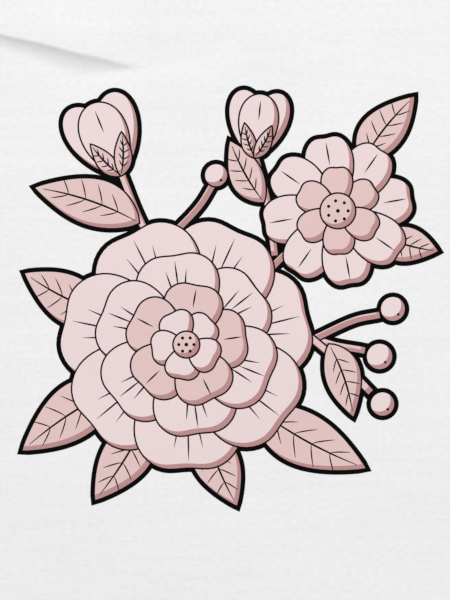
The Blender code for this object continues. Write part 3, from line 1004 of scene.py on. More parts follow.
# %% [markdown]
# ## The collar's path
#
# The collar is a folded band of rib knit that goes round the neck as one ring: across the front on top,
# over at each shoulder, and along the back underneath. A curve with a bevel would twist at the shoulders.
# Two matching loops, one along the seam and one along the free edge, hold the band flat all the way round.

# %% Collar loops
RIB_SHOULDER = (0.077, 0.3657)
RIB_WIDTH = 0.018
RIB_BACK_Z = 0.0010
RIB_PITCH = 0.0019
RIB_STATIONS = 6
LOOP_SAMPLES = 2400


def collar_loops():
    """The seam edge and the free edge, as closed loops that roll over at the shoulders like the panels."""
    front_angles = np.linspace(math.pi, 0, LOOP_SAMPLES)
    back_angles = front_angles[::-1][1:-1]
    rise = RIB_SHOULDER[1] - NECK_POINT[1] - RIB_WIDTH
    fold = np.array([NECK_POINT, RIB_SHOULDER])
    loops = []
    for corner, deeper in (((NECK_POINT[0] - SEAM_GAP, NECK_POINT[1]), -SEAM_GAP), (RIB_SHOULDER, rise)):
        top = neck_arc(*corner, FRONT_NECK, front_angles, deeper)
        low = neck_arc(*corner, BACK_NECK, back_angles, deeper)
        plan = np.vstack([top, low])
        level = np.repeat((FRONT_Z, RIB_BACK_Z), (len(top), len(low))) - MEET_Z
        height = MEET_Z + level * rolled(nearest_of(plan, (fold, mirrored(fold))))
        loops.append(lifted(plan, height))
    return loops


def evenly_round(loops):
    """Resamples both loops together, so that their middle line has even steps, a whole number to each rib."""
    closed = [looped(loop) for loop in loops]
    along = travelled((closed[0] + closed[1]) / 2)
    ribs = round(along[-1] / RIB_PITCH)
    places = np.linspace(0, along[-1], ribs * RIB_STATIONS, endpoint=False)
    return places, [np.column_stack([np.interp(places, along, axis) for axis in loop.T]) for loop in closed]


places, (seam_edge, free_edge) = evenly_round(collar_loops())
rib_count = len(places) // RIB_STATIONS
print("the collar has", rib_count, "ribs round", mm(places[-1]), "mm of neck")

# %% [markdown]
# ## The collar's band
#
# The band's section is a flat loop, round at the free edge where the rib knit is folded. It is swept along
# the two loops. Two attributes remember where the ribs will go and how strong they are at each point,
# because the ribs fade out at the seam and grow fainter round the free edge.

# %% Collar band
RIB_HALF = 0.00072
COLLAR_SEAM_DIP = 0.0005
COLLAR_SEAM_WIDTH = 0.0012
EDGE_START = 0.96
EDGE_ANGLES = (0.6, 1.2, 1.94, 2.54)
# How far the face sinks towards its borders, and the depths of the edge and the back, as shares of the half
CROWN_SHARE = 0.25
EDGE_SHARE = 0.78
BACK_SHARE = 0.8
RIB_FADE = 0.10
RIB_EDGE_STRENGTH = 0.5
RIB_EDGE_FADE = 0.2
FACE_SHARES = (0.0, 0.03, 0.08, 0.16, 0.3, 0.46, 0.62, 0.78, 0.9, EDGE_START)
BACK_SHARES = (EDGE_START, 0.8, 0.5, 0.2, 0.0)


def band_section():
    """The band's section, as shares of its width and heights: face from the seam, round edge, back."""
    section = []
    for share in FACE_SHARES:
        dip = COLLAR_SEAM_DIP * float(bell(share * RIB_WIDTH / COLLAR_SEAM_WIDTH))
        section.append((share, RIB_HALF * (1 - CROWN_SHARE * (2 * share - 1) ** 4) - dip))
    for angle in EDGE_ANGLES:
        share = EDGE_START + (1 - EDGE_START) * math.sin(angle)
        section.append((share, EDGE_SHARE * RIB_HALF * math.cos(angle)))
    return section + [(share, -BACK_SHARE * RIB_HALF) for share in BACK_SHARES]


def add_attribute(obj, name, values):
    """Gives each point of a mesh a number that nodes can read."""
    obj.data.attributes.new(name, "FLOAT", "POINT").data.foreach_set("value", values)


def add_collar_band():
    """The collar's smooth band, with attributes that say where its ribs go."""
    width = np.linalg.norm(free_edge - seam_edge, axis=1)[:, None]
    across = (free_edge - seam_edge) / width
    middle = (seam_edge + free_edge) / 2
    out = unit(np.cross(np.roll(middle, -1, axis=0) - np.roll(middle, 1, axis=0), across))
    section = band_section()
    rows = [seam_edge + across * width * share + out * height for share, height in section]
    points = np.stack(rows, axis=1).reshape(-1, 3)
    rings = np.arange(len(points)).reshape(len(places), -1)
    faces = lattice_faces(looped(rings)[:, ::-1], closed=True)
    shares = [share for share, _ in section]
    widths = np.tile(shares, len(places)) * RIB_WIDTH
    band = add_object("collar", points, faces, np.column_stack([np.repeat(places, len(section)), widths]))
    counted = places / places[-1] * (rib_count - 1 / RIB_STATIONS)
    add_attribute(band, "rib_place", np.repeat(counted, len(section)))
    strength = [min(1, share / RIB_FADE, RIB_EDGE_STRENGTH + (1 - share) / RIB_EDGE_FADE) for share in shares]
    add_attribute(band, "rib_strength", np.tile(strength, len(places)))
    return band


collar_band = add_collar_band()
print("the collar's plain band has", len(collar_band.data.polygons), "faces")

# %% [markdown]
# ## Small tools for node trees
#
# Shader and Geometry Nodes trees are both made of nodes, sockets and links. They can be built by hand in
# the node editor, but a script keeps every value in sight. These helpers add a node and fill or link its
# inputs in one go.

# %% Node helpers


def add_node(tree, kind, inputs=None, **settings):
    """Adds a node. Each input is given by name or number, as a value or as another node's output to link."""
    node = tree.nodes.new(kind)
    for key, value in settings.items():
        setattr(node, key, value)
    for key, value in (inputs or {}).items():
        if isinstance(value, bpy.types.NodeSocket):
            tree.links.new(value, node.inputs[key])
        else:
            node.inputs[key].default_value = value
    return node


def result(tree, kind, inputs=None, **settings):
    """Adds a node and hands back its first output."""
    return add_node(tree, kind, inputs, **settings).outputs[0]


def maths(tree, operation, *values):
    """A Math node's result. Its inputs are numbers or other nodes' outputs."""
    return result(tree, "ShaderNodeMath", dict(enumerate(values)), operation=operation)


def add_sockets(tree, inputs, outputs):
    """Gives a node group its named inputs, as (name, type, default), and outputs, as (name, type). Hands back
    what the group is given and what it puts out."""
    for name, kind, default in inputs:
        socket = tree.interface.new_socket(name, in_out="INPUT", socket_type=f"NodeSocket{kind}")
        if default is not None:
            socket.default_value = default
    for name, kind in outputs:
        tree.interface.new_socket(name, in_out="OUTPUT", socket_type=f"NodeSocket{kind}")
    return tree.nodes.new("NodeGroupInput").outputs, tree.nodes.new("NodeGroupOutput").inputs


print("there are", sum(name.startswith("GeometryNode") for name in dir(bpy.types)), "kinds of geometry node")

# %% [markdown]
# ## Knitted cotton
#
# Jersey is knitted in columns of little V shapes, called wales, about 0.8 mm apart. From a step away they
# melt into fine lines, and what shows is the yarn's unevenness: faint streaks along the rows. An image of
# cloth would repeat and blur. One shader group makes both from the UV map's metres, and the jersey, the
# rib, the tape and even the ink on top of the cloth use it with their own values.

# %% Knit group
WALE = 0.0008
COURSE = 0.00062
LOOP_DEPTH = 0.3
STREAKS = (
    # Waves per metre across and along the knit, share of the whole
    ((22, 1250, 1), 0.20),
    ((950, 26, 1), 0.12),
    ((270, 360, 1), 0.46),
    ((9, 140, 1), 0.22),
)


def knit_group():
    """Heights and streaks of a knit, from its place on the cloth in metres."""
    tree = bpy.data.node_groups.new("knit", "ShaderNodeTree")
    given, made = add_sockets(
        tree,
        (("Cloth", "Vector", None), ("Wale", "Float", WALE), ("Course", "Float", COURSE)),
        (("Height", "Float"), ("Streaks", "Float")),
    )
    place = add_node(tree, "ShaderNodeSeparateXYZ", {0: given["Cloth"]}).outputs
    wale = maths(tree, "DIVIDE", place[0], given["Wale"])
    course = maths(tree, "DIVIDE", place[1], given["Course"])
    from_middle = maths(tree, "PINGPONG", wale, 0.5)
    leg = maths(tree, "SINE", maths(tree, "MULTIPLY", from_middle, TURN))
    slanted = maths(tree, "MULTIPLY", maths(tree, "ADD", course, from_middle), TURN)
    loop = maths(tree, "MULTIPLY_ADD", maths(tree, "COSINE", slanted), LOOP_DEPTH, 1 - LOOP_DEPTH)
    tree.links.new(maths(tree, "MULTIPLY", leg, loop), made["Height"])
    streaks = 0.0
    for scale, share in STREAKS:
        stretched = result(tree, "ShaderNodeVectorMath", {0: given["Cloth"], 1: scale}, operation="MULTIPLY")
        noise = result(tree, "ShaderNodeTexNoise", {"Vector": stretched, "Scale": 1.0, "Detail": 2.0})
        streaks = maths(tree, "MULTIPLY_ADD", noise, share, streaks)
    tree.links.new(streaks, made["Streaks"])
    return tree


knit = knit_group()
print("the knit group has", len(knit.nodes), "nodes")

# %% [markdown]
# ## Cloth materials
#
# Each cloth is one Principled BSDF. The streaks lighten and darken its colour by a few percent, soft stains
# of larger size keep it from looking like paper, and the knit is a bump, because its loops are finer than
# any mesh. Cotton is rough and slightly fuzzy, which a little sheen gives it.

# %% Cloth materials
JERSEY_GREYS = (0.80, 0.875)
STAINS_PER_METRE = 19.0
STAIN_SHARE = 0.12
SHADE_RANGE = (0.36, 0.64)
STREAK_RELIEF = 0.7


def make_cloth(name, dark, light, wale, course, relief, roughness=0.9, sheen=0.12, gloss=0.25):
    """A knitted material between two colours. relief is the height of its stitches in metres."""
    material = new_material(name, {"Roughness": roughness, "Specular IOR Level": gloss,
                                   "Sheen Weight": sheen, "Sheen Roughness": 0.5})
    tree = material.node_tree
    place = result(tree, "ShaderNodeUVMap", uv_map="Cloth")
    sizes = {"Cloth": place, "Wale": wale, "Course": course}
    pattern = add_node(tree, "ShaderNodeGroup", sizes, node_tree=knit).outputs
    stains = result(tree, "ShaderNodeTexNoise", {"Vector": place, "Scale": STAINS_PER_METRE, "Detail": 3.0})
    shade = maths(tree, "MULTIPLY", stains, STAIN_SHARE)
    shade = maths(tree, "MULTIPLY_ADD", pattern["Streaks"], 1 - STAIN_SHARE, shade)
    low, high = SHADE_RANGE
    factor = result(tree, "ShaderNodeMapRange", {0: shade, 1: low, 2: high, 3: 0.0, 4: 1.0})
    # A Mix node's colours are its inputs 6 and 7 and its output 2
    mixed = add_node(tree, "ShaderNodeMix", {0: factor, 6: (*dark, 1), 7: (*light, 1)}, data_type="RGBA")
    height = maths(tree, "MULTIPLY_ADD", pattern["Streaks"], STREAK_RELIEF, pattern["Height"])
    bump = result(tree, "ShaderNodeBump", {"Height": height, "Distance": relief, "Strength": 1.0})
    shader = tree.nodes["Principled BSDF"].inputs
    tree.links.new(mixed.outputs[2], shader["Base Color"])
    tree.links.new(bump, shader["Normal"])
    return material


def grey(level):
    """A neutral colour."""
    return (level, level, level)


# Name, darkest and lightest colour, width and length of a stitch, height of the stitches
jersey = make_cloth("cotton_jersey", *map(grey, JERSEY_GREYS), WALE, COURSE, 0.00006)
rib_knit = make_cloth("rib_knit", grey(0.78), grey(0.86), 0.00095, 0.0007, 0.00008)
tape_twill = make_cloth("neck_tape", grey(0.72), grey(0.82), 0.0016, 0.0011, 0.00012, sheen=0.05)
thread = make_cloth("thread", grey(0.84), grey(0.90), 0.0004, 0.0004, 0.00003, roughness=0.6)
for cloth_piece in (front, back, sleeve_right, sleeve_left):
    paint(cloth_piece, jersey)
print("jersey reflects about", round(sum(JERSEY_GREYS) / 2, 2), "of the light")

# %% [markdown]
# ## The collar's ribs
#
# Rib knit stands up in columns that run from the seam to the free edge. They could be an array of small
# rolls, but they are all one cloth. So Geometry Nodes raise them: a small tree moves every point of the
# band along its normal by a wave that counts the ribs round the neck.

# %% Raise the collar's ribs
RIB_RELIEF = 0.00028


def grow_by_nodes(obj, tree, values):
    """Runs a Geometry Nodes tree on an object, and keeps the result as its plain mesh."""
    modifier = obj.modifiers.new("grow", "NODES")
    modifier.node_group = tree
    for item in tree.interface.items_tree:
        if item.in_out == "INPUT" and item.name in values:
            modifier[item.identifier] = values[item.name]
    return baked(obj)


def end_tree(tree, geometry, material, made):
    """Ends a Geometry Nodes tree: the geometry is made real and gets its material."""
    real = result(tree, "GeometryNodeRealizeInstances", {0: geometry})
    painted = result(tree, "GeometryNodeSetMaterial", {0: real, "Material": material})
    tree.links.new(painted, made[0])
    return tree


def rib_tree():
    """Geometry Nodes that raise ribs on a band: a wave of its rib_place along the normal."""
    tree = bpy.data.node_groups.new("raise_ribs", "GeometryNodeTree")
    given, made = add_sockets(
        tree,
        (("Band", "Geometry", None), ("Relief", "Float", RIB_RELIEF), ("Material", "Material", None)),
        (("Ribbed", "Geometry"),),
    )
    place, strength = (
        result(tree, "GeometryNodeInputNamedAttribute", {"Name": name}, data_type="FLOAT")
        for name in ("rib_place", "rib_strength")
    )
    wave = maths(tree, "COSINE", maths(tree, "MULTIPLY", place, TURN))
    raised = maths(tree, "MULTIPLY", maths(tree, "MULTIPLY", wave, strength), given["Relief"])
    normal = result(tree, "GeometryNodeInputNormal")
    offset = result(tree, "ShaderNodeVectorMath", {0: normal, "Scale": raised}, operation="SCALE")
    moved = result(tree, "GeometryNodeSetPosition", {"Geometry": given["Band"], "Offset": offset})
    return end_tree(tree, moved, given["Material"], made)


collar = grow_by_nodes(collar_band, rib_tree(), {"Relief": RIB_RELIEF, "Material": rib_knit})
print("with its ribs the collar is", mm(collar.dimensions.z), "mm high")

# %% [markdown]
# ## Neck tape
#
# Inside the back of the neck a narrow woven tape covers the seam, so that it doesn't scratch. It shows
# through the neck opening. A curve with a flat bevel would tilt in the bend, so it is a strip of rows that
# follow the seam, slightly crowned.

# %% Neck tape
TAPE_WIDTH = 0.010
TAPE_CLOTH = 0.0005
TAPE_Z = 0.0013
TAPE_END_ANGLE = math.radians(23)
TAPE_CROWN = 0.00016
TAPE_RIPPLE = (0.00005, 0.0083)
TAPE_SHARES = (0, 0.04, 0.15, 0.35, 0.5, 0.65, 0.85, 0.96, 1)


def tape_line(depth):
    """A line along the tape, the given distance below the seam."""
    angles = np.linspace(TAPE_END_ANGLE, math.pi - TAPE_END_ANGLE, 141)
    return neck_arc(*NECK_POINT, BACK_NECK, angles) - (0, depth + SEAM_GAP)


def add_tape():
    """The tape's strip."""
    ripple, length = TAPE_RIPPLE
    rows, grain = [], []
    for share in TAPE_SHARES:
        line = tape_line(TAPE_WIDTH * share)
        along = travelled(line)
        crown = TAPE_CROWN * (1 - (2 * share - 1) ** 4)
        rows.append(lifted(line, TAPE_Z + crown + ripple * swing(along, length, 5 * share)))
        grain.append(np.column_stack([along, np.full(len(line), TAPE_WIDTH * share)]))
    points = np.vstack(rows)
    faces = lattice_faces(np.arange(len(points)).reshape(len(rows), -1).T)
    tape = thicken(add_object("neck_tape_strip", points, faces, np.vstack(grain)), TAPE_CLOTH)
    paint(tape, tape_twill)
    return tape


tape = add_tape()
print("the tape is", mm(tape.dimensions.x), "mm across")

# %% [markdown]
# ## The print: its outlines
#
# The chest print is a posy of flowers in flat pinks with black outlines. An image texture would blur close
# by and an image file isn't at hand, so it is drawn as closed outlines, the way a stencil is cut. First
# come the simple ones: a petal, a leaf, a disc and a stroke, and the same outline grown a little, for the
# black line round it.

# %% Outlines of petals and leaves
SHARPEST_TIP = 1.5
NOTCH_WIDTH = 0.32
PETAL_FULLNESS = 1.3
LEAF_WIDEST = 0.85
LEAF_ROUNDNESS = 0.9
THINNEST = 0.12


def placed(outline, angle, at):
    """Turns an outline anticlockwise by an angle in degrees and moves it."""
    c, s = math.cos(math.radians(angle)), math.sin(math.radians(angle))
    return np.asarray(outline) @ np.array([[c, s], [-s, c]]) + at


def petal(length, width, notch=0.05, belly=0.9):
    """A petal along +X from its base at the origin: narrow at the base, broad and notched at the tip."""
    t = np.linspace(0, TURN, 64, endpoint=False)
    dent = notch * bell((t - math.pi) / NOTCH_WIDTH)
    along = length * ((1 - np.cos(t)) / 2 - dent)
    across = width / 2 * np.sin(t) * np.abs(np.sin(t / 2)) ** belly * PETAL_FULLNESS
    return np.column_stack([along, -across])


def leaf(length, width, bend):
    """A leaf along +X from its base at the origin, pointed at both ends and bent to its left."""
    u = np.linspace(0, 1, 26)
    half = width / 2 * np.sin(math.pi * u**LEAF_WIDEST) ** LEAF_ROUNDNESS
    centre = bend * length * u**2
    right = np.column_stack([length * u, centre - half])
    left = np.column_stack([length * u, centre + half])[::-1]
    return np.vstack([right, left[1:-1]])


def disc(at, radius, count):
    """A circle with so many corners."""
    t = np.linspace(0, TURN, count, endpoint=False)
    return np.array(at) + radius * np.column_stack([np.cos(t), np.sin(t)])


def stroke(path, width, taper=0.0):
    """A line as a closed outline. taper is how strongly its ends thin out: 0 not at all, 1 to a spindle."""
    path = np.asarray(path, float)
    run = np.linspace(0, 1, len(path))[:, None]
    side = left_of(path) * width / 2 * np.maximum(np.sin(math.pi * run), THINNEST) ** taper
    return np.vstack([path - side, (path + side)[::-1]])


def grown(outline, distance):
    """An anticlockwise outline, made larger by the distance on all sides, with its tips kept sharp."""
    before, after = unit(outline - np.roll(outline, 1, axis=0)), unit(np.roll(outline, -1, axis=0) - outline)
    run = unit(before + after)
    reach = distance / np.maximum((run * after).sum(axis=1), 1 / SHARPEST_TIP)[:, None]
    return outline + reach * np.column_stack([run[:, 1], -run[:, 0]])


print("a petal 60 mm long and 50 mm wide covers", round(cut_area(petal(0.06, 0.05)) * 1e4, 1), "cm2")

# %% [markdown]
# ## The print: parts of the posy
#
# A part of the posy is an outline with its two colours and the fine lines on it. Drawing each petal by hand
# would take hundreds of points, so each kind of part is a short rule: a petal with fine lines towards its
# tip, a leaf with its veins, a stem through a few points, and a berry.

# %% Parts of the posy
LINE = 0.0011
STEM_WIDTH = 0.0042
# Where a petal's middle line ends, how much earlier the outer ones do, how long all are, how far they spread
VEIN_END = 0.90
VEIN_STEP = 0.10
VEIN_LENGTH = 0.30
VEIN_SPREAD = 0.16
SIDE_VEINS = (0.22, 0.38, 0.54, 0.70)


class Motif(NamedTuple):
    """One petal, leaf, stem or berry of the posy, with its lit colour. Its shade is always dusky rose."""

    outline: np.ndarray
    lit: str
    lines: tuple = ()


def petal_motif(centre, angle, length, width, lit="pale_pink", veins=3, **form):
    """A petal of a blossom, with fine lines that run out towards its tip."""
    lines = []
    for k in range(veins):
        from_middle = k - (veins - 1) / 2
        end = VEIN_END - VEIN_STEP * abs(from_middle)
        run = np.linspace(end - VEIN_LENGTH, end, 12)
        path = length * np.column_stack([run, VEIN_SPREAD * from_middle * run**1.6])
        lines.append(placed(stroke(path, LINE, 0.8), angle, centre))
    return Motif(placed(petal(length, width, **form), angle, centre), lit, tuple(lines))


def leaf_motif(base, angle, length, width, bend):
    """A leaf with its midrib and four pairs of side veins."""
    run = np.linspace(0.04, 0.93, 16)
    lines = [stroke(length * np.column_stack([run, bend * run**2]), LINE * 1.2, 0.5)]
    for share in SIDE_VEINS:
        start = length * np.array([share, bend * share**2])
        reach = 0.34 * width * math.sin(math.pi * share**LEAF_WIDEST)
        out = np.linspace(0, 1, 6)
        for side in (reach, -reach):
            path = start + np.column_stack([0.128 * length * out**1.2, side * out])
            lines.append(stroke(path, LINE * 0.8, 0.5))
    lines = tuple(placed(line, angle, base) for line in lines)
    return Motif(placed(leaf(length, width, bend), angle, base), "mid_pink", lines)


def stem_motif(path):
    """A thin stem through given points."""
    return Motif(stroke(smooth_line(path, 8), STEM_WIDTH), "mid_pink")


def berry_motif(at, radius):
    """A round berry with a small dark tip."""
    tip = np.array(at) + 0.45 * radius * np.array([1, -1])
    return Motif(disc(at, radius, 32), "pale_pink", (disc(tip, 0.0009, 10),))


print("a leaf has", len(leaf_motif((0, 0), 0, 0.06, 0.03, 0.1).lines), "veins")

# %% [markdown]
# ## The print: blossoms and buds
#
# A blossom is rings of petals, the largest at the back, round a seed head. A bud is closed: its front petal
# covers two others, and two small leaves hold it.

# %% Blossoms and buds


def blossom(centre, rings, head_radius, seeds):
    """Rings of petals, as (count, first angle, length, width, colour, lines on each), round a seed head."""
    motifs = []
    for count, first, *form in rings:
        motifs += [petal_motif(centre, first + 360 * k / count, *form) for k in range(count)]
    dots = [disc(centre, 0.0013, 12)]
    for angle in np.arange(seeds) * TURN / seeds:
        at = np.array(centre) + 0.6 * head_radius * np.array([math.cos(angle), math.sin(angle)])
        dots.append(disc(at, 0.0011, 12))
    return [*motifs, Motif(disc(centre, head_radius, 36), "mid_pink", tuple(dots))]


def bud(base, angle, length):
    """A closed bud: two side petals, one in front of them, and two small leaves that hold it."""
    closed = {"notch": 0.0, "belly": 0.5}
    sides = [petal_motif(base, angle + lean, length, 0.44 * length, veins=0, **closed) for lean in (17, -17)]
    front_petal = petal_motif(base, angle, 0.92 * length, 0.5 * length, veins=1, **closed)
    leaf_size = (0.5 * length, 0.2 * length)
    return [*sides, front_petal, *(leaf_motif(base, angle + 34 * s, *leaf_size, -0.2 * s) for s in (1, -1))]


print("a bud has", len(bud((0, 0), 90, 0.05)), "parts")

# %% [markdown]
# ## The print: the whole posy
#
# The parts are placed one by one, from the back to the front, round the middle of the print: stems and leaves
# first, then berries and buds, the small blossom, and the big one on top.

# %% The posy
BIG_CENTRE = (-0.026, -0.030)
BIG_RINGS = (
    (7, 14, 0.087, 0.070, "pale_pink", 3),
    (6, 38, 0.063, 0.054, "pale_pink", 3),
    (5, 8, 0.042, 0.038, "mid_pink", 1),
    (5, 44, 0.024, 0.022, "pale_pink", 0),
)
SMALL_CENTRE = (0.076, 0.060)
SMALL_RINGS = ((8, 10, 0.052, 0.031, "pale_pink", 1), (6, 32, 0.030, 0.020, "mid_pink", 0))
STEMS = (
    ((-0.040, 0.020), (-0.058, 0.056), (-0.070, 0.086)),
    ((0.0335, 0.030), (0.0285, 0.066), (0.020, 0.098)),
    ((0.030, -0.010), (0.066, -0.028), (0.094, -0.034)),
    ((0.060, -0.026), (0.086, -0.014), (0.104, -0.010)),
    ((0.056, -0.024), (0.082, -0.046), (0.098, -0.062)),
    ((0.020, 0.010), (0.050, 0.040), (0.076, 0.060)),
    ((-0.050, 0.030), (-0.020, 0.060), (-0.008, 0.078)),
)
LEAVES = (
    # Base, angle, length, width, bend
    ((-0.070, -0.058), 204, 0.078, 0.036, 0.16),
    ((-0.052, -0.078), 246, 0.066, 0.032, -0.14),
    ((-0.014, -0.084), 284, 0.058, 0.030, 0.14),
    ((0.020, -0.072), 322, 0.084, 0.036, 0.16),
    ((-0.078, -0.010), 164, 0.062, 0.032, -0.18),
    ((-0.058, 0.052), 150, 0.072, 0.032, 0.20),
    ((0.104, 0.044), 334, 0.040, 0.024, 0.18),
    ((0.092, 0.092), 62, 0.056, 0.028, -0.18),
    ((0.026, 0.066), 128, 0.046, 0.022, -0.16),
    ((0.070, -0.030), 300, 0.050, 0.024, -0.20),
)
BERRIES = (
    ((0.104, -0.038), 0.0085),
    ((0.113, -0.006), 0.0080),
    ((0.106, -0.070), 0.0078),
    ((-0.006, 0.084), 0.0074),
)
posy = [stem_motif(path) for path in STEMS]
posy += [leaf_motif(*row) for row in LEAVES]
posy += [berry_motif(*row) for row in BERRIES]
posy += bud((-0.070, 0.084), 112, 0.056) + bud((0.020, 0.096), 84, 0.046)
posy += blossom(SMALL_CENTRE, SMALL_RINGS, 0.0115, 7)
posy += blossom(BIG_CENTRE, BIG_RINGS, 0.0085, 6)
print("the posy has", len(posy), "parts")

# %% [markdown]
# ## The print: colours in order
#
# A screen printer lays one ink after another. Each part is a black shape a little larger than itself, then
# its shaded colour, then its lit colour, moved up to the left and kept within the part, which leaves a
# crescent of shade. All parts are first laid down once in black, wider still, for a thicker line round the
# whole posy.

# %% Shapes to print
CONTOUR = 0.0031
SHADE_SHIFT = np.array([-0.0024, 0.00272])


class Shape(NamedTuple):
    """An outline to print. It covers the ones before it. If it names another, it only shows inside that."""

    outline: np.ndarray
    ink: str
    within: int | None = None


shapes = [Shape(grown(motif.outline, CONTOUR), "black") for motif in posy]
for motif in posy:
    shapes.append(Shape(grown(motif.outline, LINE), "black"))
    body = len(shapes)
    shapes.append(Shape(motif.outline, "dusky_rose"))
    shapes.append(Shape(motif.outline + SHADE_SHIFT, motif.lit, body))
    shapes += [Shape(line, "black", body) for line in motif.lines]
corners = np.vstack([shape.outline for shape in shapes])
print(len(shapes), "outlines, and the print is", mm(np.ptp(corners[:, 0])), "mm wide")

# %% [markdown]
# ## The print: cut into inks
#
# The outlines cross each other everywhere, and boolean cuts in a row would be slow and frail. A constrained
# Delaunay triangulation cuts them all at once into small triangles and tells which outlines hold each one.
# The last of those that may show there gives the ink. So the inks meet with crisp edges and without a gap.

# %% Cut the shapes
INK_GRID = 0.009
CUT_SCALE = 1000.0


def anticlockwise(outline):
    """The outline, turned round if it runs clockwise."""
    return outline if cut_area(outline) > 0 else outline[::-1]


def cut_shapes():
    """Cuts all outlines into triangles: their points, and for each ink the triangles where it shows."""
    points, outlines = [], []
    for shape in shapes:
        outlines.append(list(range(len(points), len(points) + len(shape.outline))))
        points += [Vector(p) for p in anticlockwise(shape.outline) * CUT_SCALE]
    points += [Vector(p) for p in staggered_grid(INK_GRID, corners.min(0), corners.max(0)) * CUT_SCALE]
    flat, _, triangles, _, _, owners = delaunay_2d_cdt(points, [], outlines, 1, 1e-4)
    inks = {}
    for triangle, owner in zip(triangles, owners):
        showing = [i for i in owner if shapes[i].within is None or shapes[i].within in owner]
        if showing:
            inks.setdefault(shapes[max(showing)].ink, []).append(triangle)
    return np.array([tuple(p) for p in flat]) / CUT_SCALE, inks


cut_points, ink_triangles = cut_shapes()
print("triangles of each ink:", {ink: len(triangles) for ink, triangles in ink_triangles.items()})

# %% [markdown]
# ## The print: ink on cloth
#
# Screen ink is a film of its own, thinner than a hair, and matt. A colour painted into the cloth's material
# would have no edge in the mesh. So each ink becomes one thin sheet, laid on the cloth with the
# same formula that shaped it, and a trace of the knit shows through.

# %% Ink films
INK_LIFT = 0.00008
INK_THICKNESS = 0.00006
INK_RELIEF = 0.00003
INKS = {
    # Colour, gloss
    "black": ((0.002, 0.0022, 0.0022), 0.03),
    "dusky_rose": ((0.473, 0.256, 0.250), 0.2),
    "mid_pink": ((0.735, 0.532, 0.520), 0.2),
    "pale_pink": ((0.802, 0.656, 0.663), 0.2),
}


def add_film(ink, colour, gloss):
    """One ink as a thin film on the cloth."""
    used, ids = np.unique(np.array(ink_triangles[ink]), return_inverse=True)
    plan = cut_points[used] + PRINT_CENTRE
    points = lifted(plan, top_z(plan) + CLOTH / 2 + INK_LIFT)
    film = thicken(add_object(f"print_{ink}", points, ids.reshape(-1, 3).tolist(), plan), INK_THICKNESS)
    darker = tuple(0.965 * channel for channel in colour)
    looks = {"roughness": 0.62, "sheen": 0, "gloss": gloss}
    paint(film, make_cloth(f"ink_{ink}", darker, colour, WALE, COURSE, INK_RELIEF, **looks))
    return film


films = [add_film(ink, *looks) for ink, looks in INKS.items()]
print("the ink reaches", mm(max(max(v.co.z for v in film.data.vertices) for film in films)), "mm high")

# %% [markdown]
# ## Where the thread runs
#
# A hem is closed by two parallel rows of stitches. The collar, the shoulders and the neck tape have their
# own rows. Such rows could be dropped onto the finished mesh with Shrinkwrap. Here each is measured from a
# seam or an edge of the pattern and laid on the cloth's outside by the formula that shaped it, so the
# thread follows every pucker exactly.

# %% Stitch rows
COLLAR_ROW = 0.0026
SHOULDER_ROW = 0.0045
TAPE_ROWS = (0.0013, 0.0087)
TAPE_LIFT = 0.00012
STITCH_LINE_STEP = 0.00146
THREAD_WIDTH = 0.00042
TABLE_CLEARANCE = 0.00002
END_GAP = 0.0016


def on_cloth(line, facing):
    """A line of the plane laid on the outside of the top layer (facing 1) or the bottom one (facing -1)."""
    height_of = top_z if facing > 0 else bottom_z
    middle = lifted(line, height_of(line))
    normal = unit(np.cross(np.gradient(middle, axis=0), lifted(left_of(line), 0)))
    laid = middle + facing * normal * CLOTH / 2
    laid[:, 2] = np.maximum(laid[:, 2], THREAD_WIDTH / 2 + TABLE_CLEARANCE)
    return laid


def without_ends(line):
    """A line of stitches that stops just short of the folds at its ends."""
    gaps = [np.linalg.norm(line - end, axis=1) for end in (line[0], line[-1])]
    return line[np.min(gaps, axis=0) > END_GAP]


def stitch_lines():
    """Every sewn line of the shirt, in space."""
    lines = []
    for row in TWIN_ROWS:
        for line in (hem_line(row, STITCH_LINE_STEP), cuff_row(row), mirrored(cuff_row(row))):
            lines += [on_cloth(without_ends(line), facing) for facing in (1, -1)]
    for neckline, facing in ((neck_seam(FRONT_NECK, 160), 1), (neck_seam(BACK_NECK, 120), -1)):
        lines.append(on_cloth((neckline + left_of(neckline) * COLLAR_ROW)[1:-1], facing))
    shoulder = straight(SHOULDER_POINT, NECK_POINT, 0.004)[1:-2]
    shoulder += left_of(shoulder) * SHOULDER_ROW
    lines += [on_cloth(shoulder, 1), on_cloth(mirrored(shoulder), 1)]
    for depth in TAPE_ROWS:
        line = tape_line(depth)[2:-2]
        lines.append(lifted(line, TAPE_Z + TAPE_CLOTH / 2 + TAPE_LIFT))
    return lines


sewn_lines = stitch_lines()
sewn_metres = sum(travelled(line)[-1] for line in sewn_lines)
print(len(sewn_lines), "rows of stitches run over", round(sewn_metres, 2), "m")

# %% [markdown]
# ## Rows of thread
#
# On the outside each stitch is a short piece of thread between two holes. Copying more than a thousand by
# hand is out of the question, so Geometry Nodes sew them: the tree walks along each line of a curve object,
# sets a small spindle of thread at every stitch, and turns it along the line.

# %% Sew the stitches
STITCH_PITCH = 0.0030
STITCH_LENGTH = 0.0026


def add_curves(name, lines):
    """A curve object with one straight-sided spline for each line."""
    data = bpy.data.curves.new(name, "CURVE")
    data.dimensions = "3D"
    for line in lines:
        spline = data.splines.new("POLY")
        spline.points.add(len(line) - 1)
        spline.points.foreach_set("co", np.column_stack([line, np.ones(len(line))]).ravel())
    return link(bpy.data.objects.new(name, data))


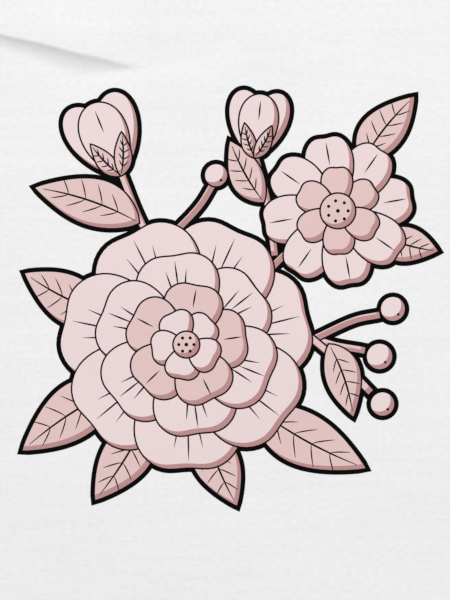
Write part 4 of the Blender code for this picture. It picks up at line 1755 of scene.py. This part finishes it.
def stitch_tree():
    """Geometry Nodes that sew a running row of stitches along every line."""
    tree = bpy.data.node_groups.new("sew", "GeometryNodeTree")
    given, made = add_sockets(
        tree,
        (
            ("Rows", "Geometry", None),
            ("Pitch", "Float", STITCH_PITCH),
            ("Length", "Float", STITCH_LENGTH),
            ("Thread", "Float", THREAD_WIDTH),
            ("Material", "Material", None),
        ),
        (("Stitches", "Geometry"),),
    )
    pitch = {"Curve": given["Rows"], "Length": given["Pitch"]}
    places = result(tree, "GeometryNodeResampleCurve", pitch, mode="LENGTH")
    spindle = result(tree, "GeometryNodeMeshUVSphere", {"Segments": 8, "Rings": 6, "Radius": 0.5})
    size = result(tree, "ShaderNodeCombineXYZ", {0: given["Length"], 1: given["Thread"], 2: given["Thread"]})
    slim = result(tree, "GeometryNodeTransform", {"Geometry": spindle, "Scale": size})
    soft = result(tree, "GeometryNodeSetShadeSmooth", {"Geometry": slim})
    tangent = result(tree, "GeometryNodeInputTangent")
    turned = result(tree, "FunctionNodeAlignRotationToVector", {"Vector": tangent}, axis="X")
    row = {"Points": places, "Instance": soft, "Rotation": turned}
    return end_tree(tree, result(tree, "GeometryNodeInstanceOnPoints", row), given["Material"], made)


sewing = {"Pitch": STITCH_PITCH, "Length": STITCH_LENGTH, "Thread": THREAD_WIDTH, "Material": thread}
stitches = grow_by_nodes(add_curves("stitches", sewn_lines), stitch_tree(), sewing)
print("the stitches have", len(stitches.data.polygons), "faces")

# %% [markdown]
# ## What each piece stands for
#
# Every piece rides on the shirt's one body, and each cloth piece hides the plain solid that it stands for.
# The table also gives the size and area each was cut to.

BODY_CUT = (0.53, 0.75)
SLEEVE_CUT = (0.42, 0.23)
COLLAR_CUT = (0.49, RIB_WIDTH)
TAPE_CUT = (0.18, TAPE_WIDTH)
SHEETS = (
    # Piece, node it stands for, material slot, flat size, cut area if not that rectangle's, what it rests on
    (back, "back_panel", "cotton_jersey", BODY_CUT, back_area, ["table"]),
    (front, "front_panel", "cotton_jersey", BODY_CUT, front_area, ["back_cloth"]),
    (sleeve_right, "sleeve_right", "cotton_jersey", SLEEVE_CUT, sleeve_area, ["table"]),
    (sleeve_left, "sleeve_left", "cotton_jersey", SLEEVE_CUT, sleeve_area, ["table"]),
    (collar, "collar_rib", "rib_knit", COLLAR_CUT, None, ["front_cloth", "back_cloth"]),
    (tape, "neck_tape", "neck_tape", TAPE_CUT, None, ["back_cloth"]),
)
for piece, node, slot, flat, area, under in SHEETS:
    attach(piece, "root")
    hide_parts(node)
for piece in (*films, stitches):
    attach(piece, "root")
print(len(SHEETS) + len(films) + 1, "pieces ride on the shirt")

# %% [markdown]
# ## Sizes
#
# The last step measures the box round the dressed shirt and writes it down beside that of the plain solids.
# Cloth that sticks out of the box by more than a few millimetres would mean that the two have come apart.

# %% Sizes and the end
scene_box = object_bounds()
for name, box in (("CAD", cad_box), ("scene", scene_box)):
    print(name, "box in mm", [[mm(v) for v in corner] for corner in box])
